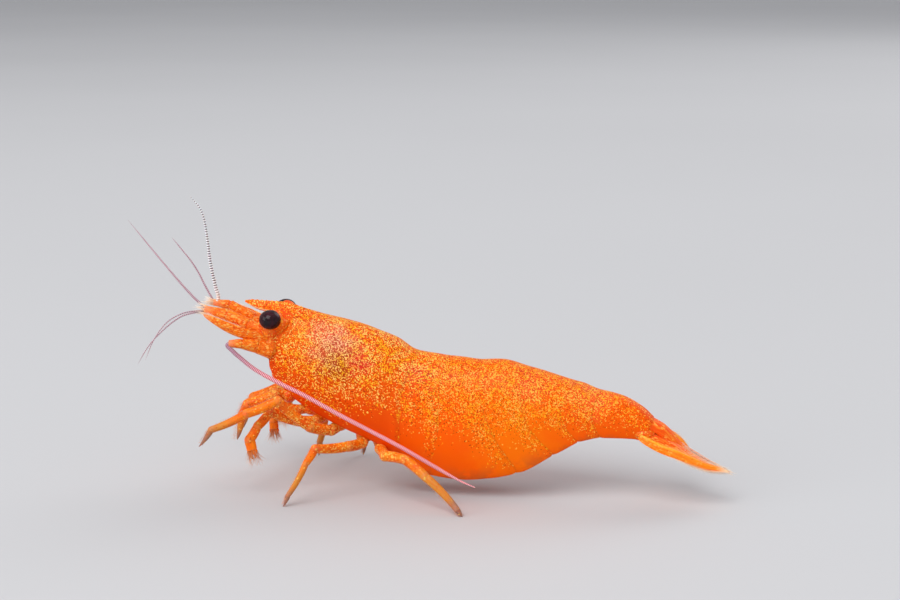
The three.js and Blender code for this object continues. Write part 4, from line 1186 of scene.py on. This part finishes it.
# ---- Swimmerets ----------------------------------------------------------------------------------
# Five pairs of small paddles hang between the flaps of the abdomen. Each is a short stalk of thin shell with
# two thin blades.
STALK_DROP, STALK_APART = 0.35, 0.5
paddles = []
for pair in range(1, 6):
    s = CARAPACE_END + pair - 0.5
    high = float(hollow_height(s))
    back, belly = float(back_x(s)), float(belly_x(s))
    root_x = belly + (back - belly) * high - 4 * float(bow(s)) * high * (1 - high)
    low = float(belly_height(belly))
    root_z = low + (float(back_height(back)) - low) * high
    drop = 0.58 * (root_z - float(belly_height(root_x)))
    for side, way in SIDES:
        top = np.array((root_x, STALK_APART * way, root_z + 0.1))
        stalk_end = top + np.array((0.12 * drop, 0.05 * way, -STALK_DROP - 0.35 * drop))
        limb = Limb()
        article(limb, (top, stalk_end), (0.26, 0.22), (0.2, 0.4), squeeze=0.8, rows=14, columns=14)
        for out, long in ((0.22, 0.62), (-0.12, 0.5)):
            tip = stalk_end + np.array((0.75 * drop, out * way, -long * drop))
            flat = {"squeeze": 1.5, "bow": 0.05, "tip": True, "rows": 16, "columns": 14}
            article(limb, (stalk_end, tip), (0.24, 0.2), (0.4, 0.6), **flat)
            paddles.append([(*stalk_end, 0.24), (*tip, 0.08)])
        settle(limb.piece(f"swimmeret_paddle_{pair}_{side}"), "limb", f"swimmeret_{pair}_{side}")

# ---- Setae ---------------------------------------------------------------------------------------
# Fine hairs of chitin: a fringe round the tail blades, scales and paddles, tufts on the stems, brushes on the
# small claws and mouth limbs, and bristles down the legs. Each grows from a pore and leans along its plate.


def kept(tree, name, kind):
    """The value that the geometry keeps under a name."""
    return put(tree, "GeometryNodeInputNamedAttribute", {"Name": name}, data_type=kind).outputs[0]


# The hair: a three-sided spike, curled along its own length.
seta_tree, given, end = geometry_tree("Setae", {
    "Thickness": "Float", "Curl": "Float", "Spread": "Float", "Seed": "Int", "Material": "Material"})
straight = put(seta_tree, "GeometryNodeCurvePrimitiveLine", {"Start": (0, 0, 0), "End": (0, 0, 1)})
jointed = put(seta_tree, "GeometryNodeResampleCurve", {"Curve": straight.outputs[0], "Count": 5})
strand = put(seta_tree, "GeometryNodeSplineParameter").outputs["Factor"]
bend = combined(seta_tree, product(seta_tree, strand, strand, given["Curl"]))
curled = put(seta_tree, "GeometryNodeSetPosition", {"Geometry": jointed.outputs[0], "Offset": bend})
marked = store(seta_tree, curled.outputs[0], "strand", strand, "FLOAT")
hoop = put(seta_tree, "GeometryNodeCurvePrimitiveCircle", {"Resolution": 3, "Radius": 1.0})
turned = put(seta_tree, "GeometryNodeSplineParameter").outputs["Factor"]
hoop = store(seta_tree, hoop.outputs["Curve"], "around", turned, "FLOAT")
thin = product(seta_tree, sums(seta_tree, "MULTIPLY_ADD", strand, -0.8, 1.0), given["Thickness"])
hair = put(seta_tree, "GeometryNodeCurveToMesh", {"Curve": marked, "Profile Curve": hoop, "Scale": thin})

# One hair on every pore, along the pore's way, with a little stray lean and an uneven length.
pores = put(seta_tree, "GeometryNodeMeshToPoints", {"Mesh": given["Geometry"]})
upright = put(seta_tree, "FunctionNodeAlignRotationToVector", {
    "Vector": kept(seta_tree, "way", "FLOAT_VECTOR")}, axis="Z")
HALF_TURN = 3.14
other_way = product(seta_tree, given["Spread"], -1.0)
stray = put(seta_tree, "FunctionNodeRandomValue", {
    "Min": combined(seta_tree, other_way, other_way, -HALF_TURN),
    "Max": combined(seta_tree, given["Spread"], given["Spread"], HALF_TURN),
    "Seed": given["Seed"]}, data_type="FLOAT_VECTOR")
leant = put(seta_tree, "FunctionNodeRotateRotation", {
    "Rotation": upright.outputs[0], "Rotate By": stray.outputs[0]}, rotation_space="LOCAL")
wires = {2: 0.7, 3: 1.15, "Seed": given["Seed"]}
uneven = put(seta_tree, "FunctionNodeRandomValue", wires, data_type="FLOAT")
size = product(seta_tree, kept(seta_tree, "long", "FLOAT"), uneven.outputs[1])
grown = put(seta_tree, "GeometryNodeInstanceOnPoints", {
    "Points": pores.outputs[0], "Instance": hair.outputs[0], "Rotation": leant.outputs[0], "Scale": size})

# Every hair has its own small patch of the map that its colours are kept on.
PATCH_SIZE = 0.003
real = put(seta_tree, "GeometryNodeRealizeInstances", {0: grown.outputs[0]})
within = combined(seta_tree, kept(seta_tree, "around", "FLOAT"), kept(seta_tree, "strand", "FLOAT"))
root_uv = kept(seta_tree, "root_uv", "FLOAT_VECTOR")
patch = vectors(seta_tree, "MULTIPLY_ADD", within, (PATCH_SIZE, PATCH_SIZE, 0), root_uv)[0]
unwrapped = store(seta_tree, real.outputs[0], "OFBake", patch, "FLOAT2", "CORNER")
close_tree(seta_tree, unwrapped, given["Material"], end)


def seta_paint(name, root_tone, tip_tone):
    """Pale horn, tinted like the plate at the root."""
    material, tree, shader = plain_material(name, {"Roughness": 0.5, "Specular IOR Level": 0.15})
    up_hair = put(tree, "ShaderNodeAttribute", attribute_name="strand").outputs["Fac"]
    tone = blend(tree, ramp(tree, up_hair, 0.0, 0.8), colour(root_tone), colour(tip_tone))
    tree.links.new(tone, shader.inputs["Base Color"])
    return material


pale_seta = seta_paint("seta_pale", 0xFFA860, 0xFFE0C4)
clear_seta = seta_paint("seta_clear", 0xFFC48C, 0xFFF0E0)
brown_seta = seta_paint("seta_brown", 0xD88858, 0xE8BCA4)
SQUARE_RIM = 0.1


def hairs(place, way, long, u, v):
    """A group of hairs rooted at each place, each with its way, its length and u and v, 0 to 1, which are the
    root's place on its own plate laid out flat."""
    way = way / np.linalg.norm(way, axis=-1, keepdims=True)
    u, v, long = (np.broadcast_to(value, len(place)) for value in (u, v, long))
    u, v = (SQUARE_RIM + (1 - 2 * SQUARE_RIM) * value for value in (u, v))
    return place, way, long, np.stack([u, v, 0 * u], axis=-1)


def grow_hairs(name, slot, groups, **values):
    """Turns groups of hairs into one piece. Each group has its own square of the piece's map."""
    across = int(np.ceil(np.sqrt(len(groups))))
    places, ways, longs, flats = zip(*groups)
    flats = [(flat + (*divmod(number, across), 0)) / across for number, flat in enumerate(flats)]
    mesh = bpy.data.meshes.new(f"{name}_pores")
    mesh.from_pydata(np.concatenate(places).tolist(), [], [])
    for mark, kind, part, held in [
        ("way", "FLOAT_VECTOR", "vector", ways), ("root_uv", "FLOAT_VECTOR", "vector", flats),
        ("long", "FLOAT", "value", longs),
    ]:
        mark_data = mesh.attributes.new(mark, kind, "POINT").data
        mark_data.foreach_set(part, np.concatenate(held).astype(np.float32).ravel())
    settle(grow(name, mesh, seta_tree, **values), slot)


def margin_hairs(route, tilt, start, count, longs):
    """A fringe along both edges of a blade, from the share start of its length to the tip. Tipwards the hairs
    lie flatter and grow longer, from about the middle of the two lengths in longs to the second."""
    middle, (half,), side, up, t = along_route(route, count)
    ahead = np.gradient(middle, axis=0)
    ahead /= np.linalg.norm(ahead, axis=1, keepdims=True)
    lean_side, _ = leaning(side, up, tilt)
    on = t >= start
    toward_tip = np.clip(0.45 + 0.55 * (t - start) / (1 - start), 0, 1)[on, None]
    long = longs[0] + (longs[1] - longs[0]) * toward_tip[:, 0]
    groups = []
    for edge in (-1, 1):
        place = middle[on] + lean_side[on] * (half[on] * 0.96 * edge)[:, None]
        way = lean_side[on] * edge * (1 - toward_tip) + ahead[on] * toward_tip
        groups.append(hairs(place, way, long, t[on], 0.5 + 0.5 * edge))
    return groups


def limb_hairs(route, turns, count, long, lean, reach=(0.05, 0.95)):
    """Rows of hairs on the articles of a route, at the given turns round it in degrees, leaning tipwards by
    lean, 0 to 1. reach is the share of each article that carries them."""
    groups = []
    for a, b in zip(route, route[1:]):
        start, stop = np.array(a[:3]), np.array(b[:3])
        ahead, side, up = limb_frame(start, stop)
        t, turn = np.meshgrid(np.linspace(*reach, count), np.radians(turns))
        t, turn = t.ravel(), turn.ravel()
        out = side * np.cos(turn)[:, None] * SQUEEZE + up * np.sin(turn)[:, None]
        thick = a[3] + (b[3] - a[3]) * t
        place = start + (stop - start) * t[:, None] + out * (thick * 0.93)[:, None]
        groups.append(hairs(place, out * (1 - lean) + ahead * lean, long, t, turn / (2 * np.pi) % 1.0))
    return groups


fringe = margin_hairs(TELSON, tilt=0.0, start=0.45, count=70, longs=(0.08, 0.4))
for side, way in SIDES:
    inner, outer = mirrored(INNER_BLADE, way), mirrored(OUTER_BLADES[side], way)
    fringe += margin_hairs(inner, -INNER_TILT * way, start=0.3, count=150, longs=(0.15, 0.55))
    fringe += margin_hairs(outer, -OUTER_TILTS[side] * way, start=0.3, count=150, longs=(0.15, 0.5))
grow_hairs(
    "fan_fringe", "shell", fringe, thickness=0.028, curl=0.12, spread=0.14, seed=1, material=clear_seta)

tufts, edging = [], []
for side, way in SIDES:
    stem = mirrored(STEMS[side], way)
    edging += margin_hairs(mirrored(SCALE, way), -SCALE_TILT * way, start=0.4, count=90, longs=(0.1, 0.4))
    tufts += limb_hairs(stem[2:], range(0, 360, 30), count=2, long=0.72, lean=0.92, reach=(0.9, 0.99))
    tufts += limb_hairs(stem[:3], range(0, 360, 45), count=1, long=0.16, lean=0.6, reach=(0.97, 0.97))
grow_hairs(
    "scale_fringe", "limb", edging, thickness=0.04, curl=0.12, spread=0.16, seed=2, material=clear_seta)
grow_hairs("stem_tufts", "limb", tufts, thickness=0.042, curl=0.2, spread=0.22, seed=3, material=clear_seta)

brushes, bristles = [], []
for node, route in LIMBS.items():
    if node.startswith("maxilliped"):
        brushes += limb_hairs(route[2:], range(200, 350, 30), count=16, long=0.26, lean=0.35)
    elif node.startswith(CLAWED):
        brushes += limb_hairs(route[-2:], range(0, 360, 24), count=5, long=0.6, lean=0.86, reach=(0.5, 0.86))
    else:
        bristles += limb_hairs(route[3:], (235, 270, 305), count=12, long=0.13, lean=0.5, reach=(0.05, 0.8))
        bristles += limb_hairs(route[4:], (60, 120), count=8, long=0.1, lean=0.6, reach=(0.05, 0.8))
grow_hairs(
    "claw_brushes", "limb", brushes, thickness=0.024, curl=0.3, spread=0.3, seed=4, material=brown_seta)
grow_hairs(
    "leg_bristles", "limb", bristles, thickness=0.07, curl=0.1, spread=0.2, seed=5, material=brown_seta)
edging = [group for route in paddles for group in limb_hairs(route, (0, 180), count=14, long=0.22, lean=0.7)]
grow_hairs("paddle_fringe", "limb", edging, thickness=0.03, curl=0.15, spread=0.2, seed=6, material=pale_seta)
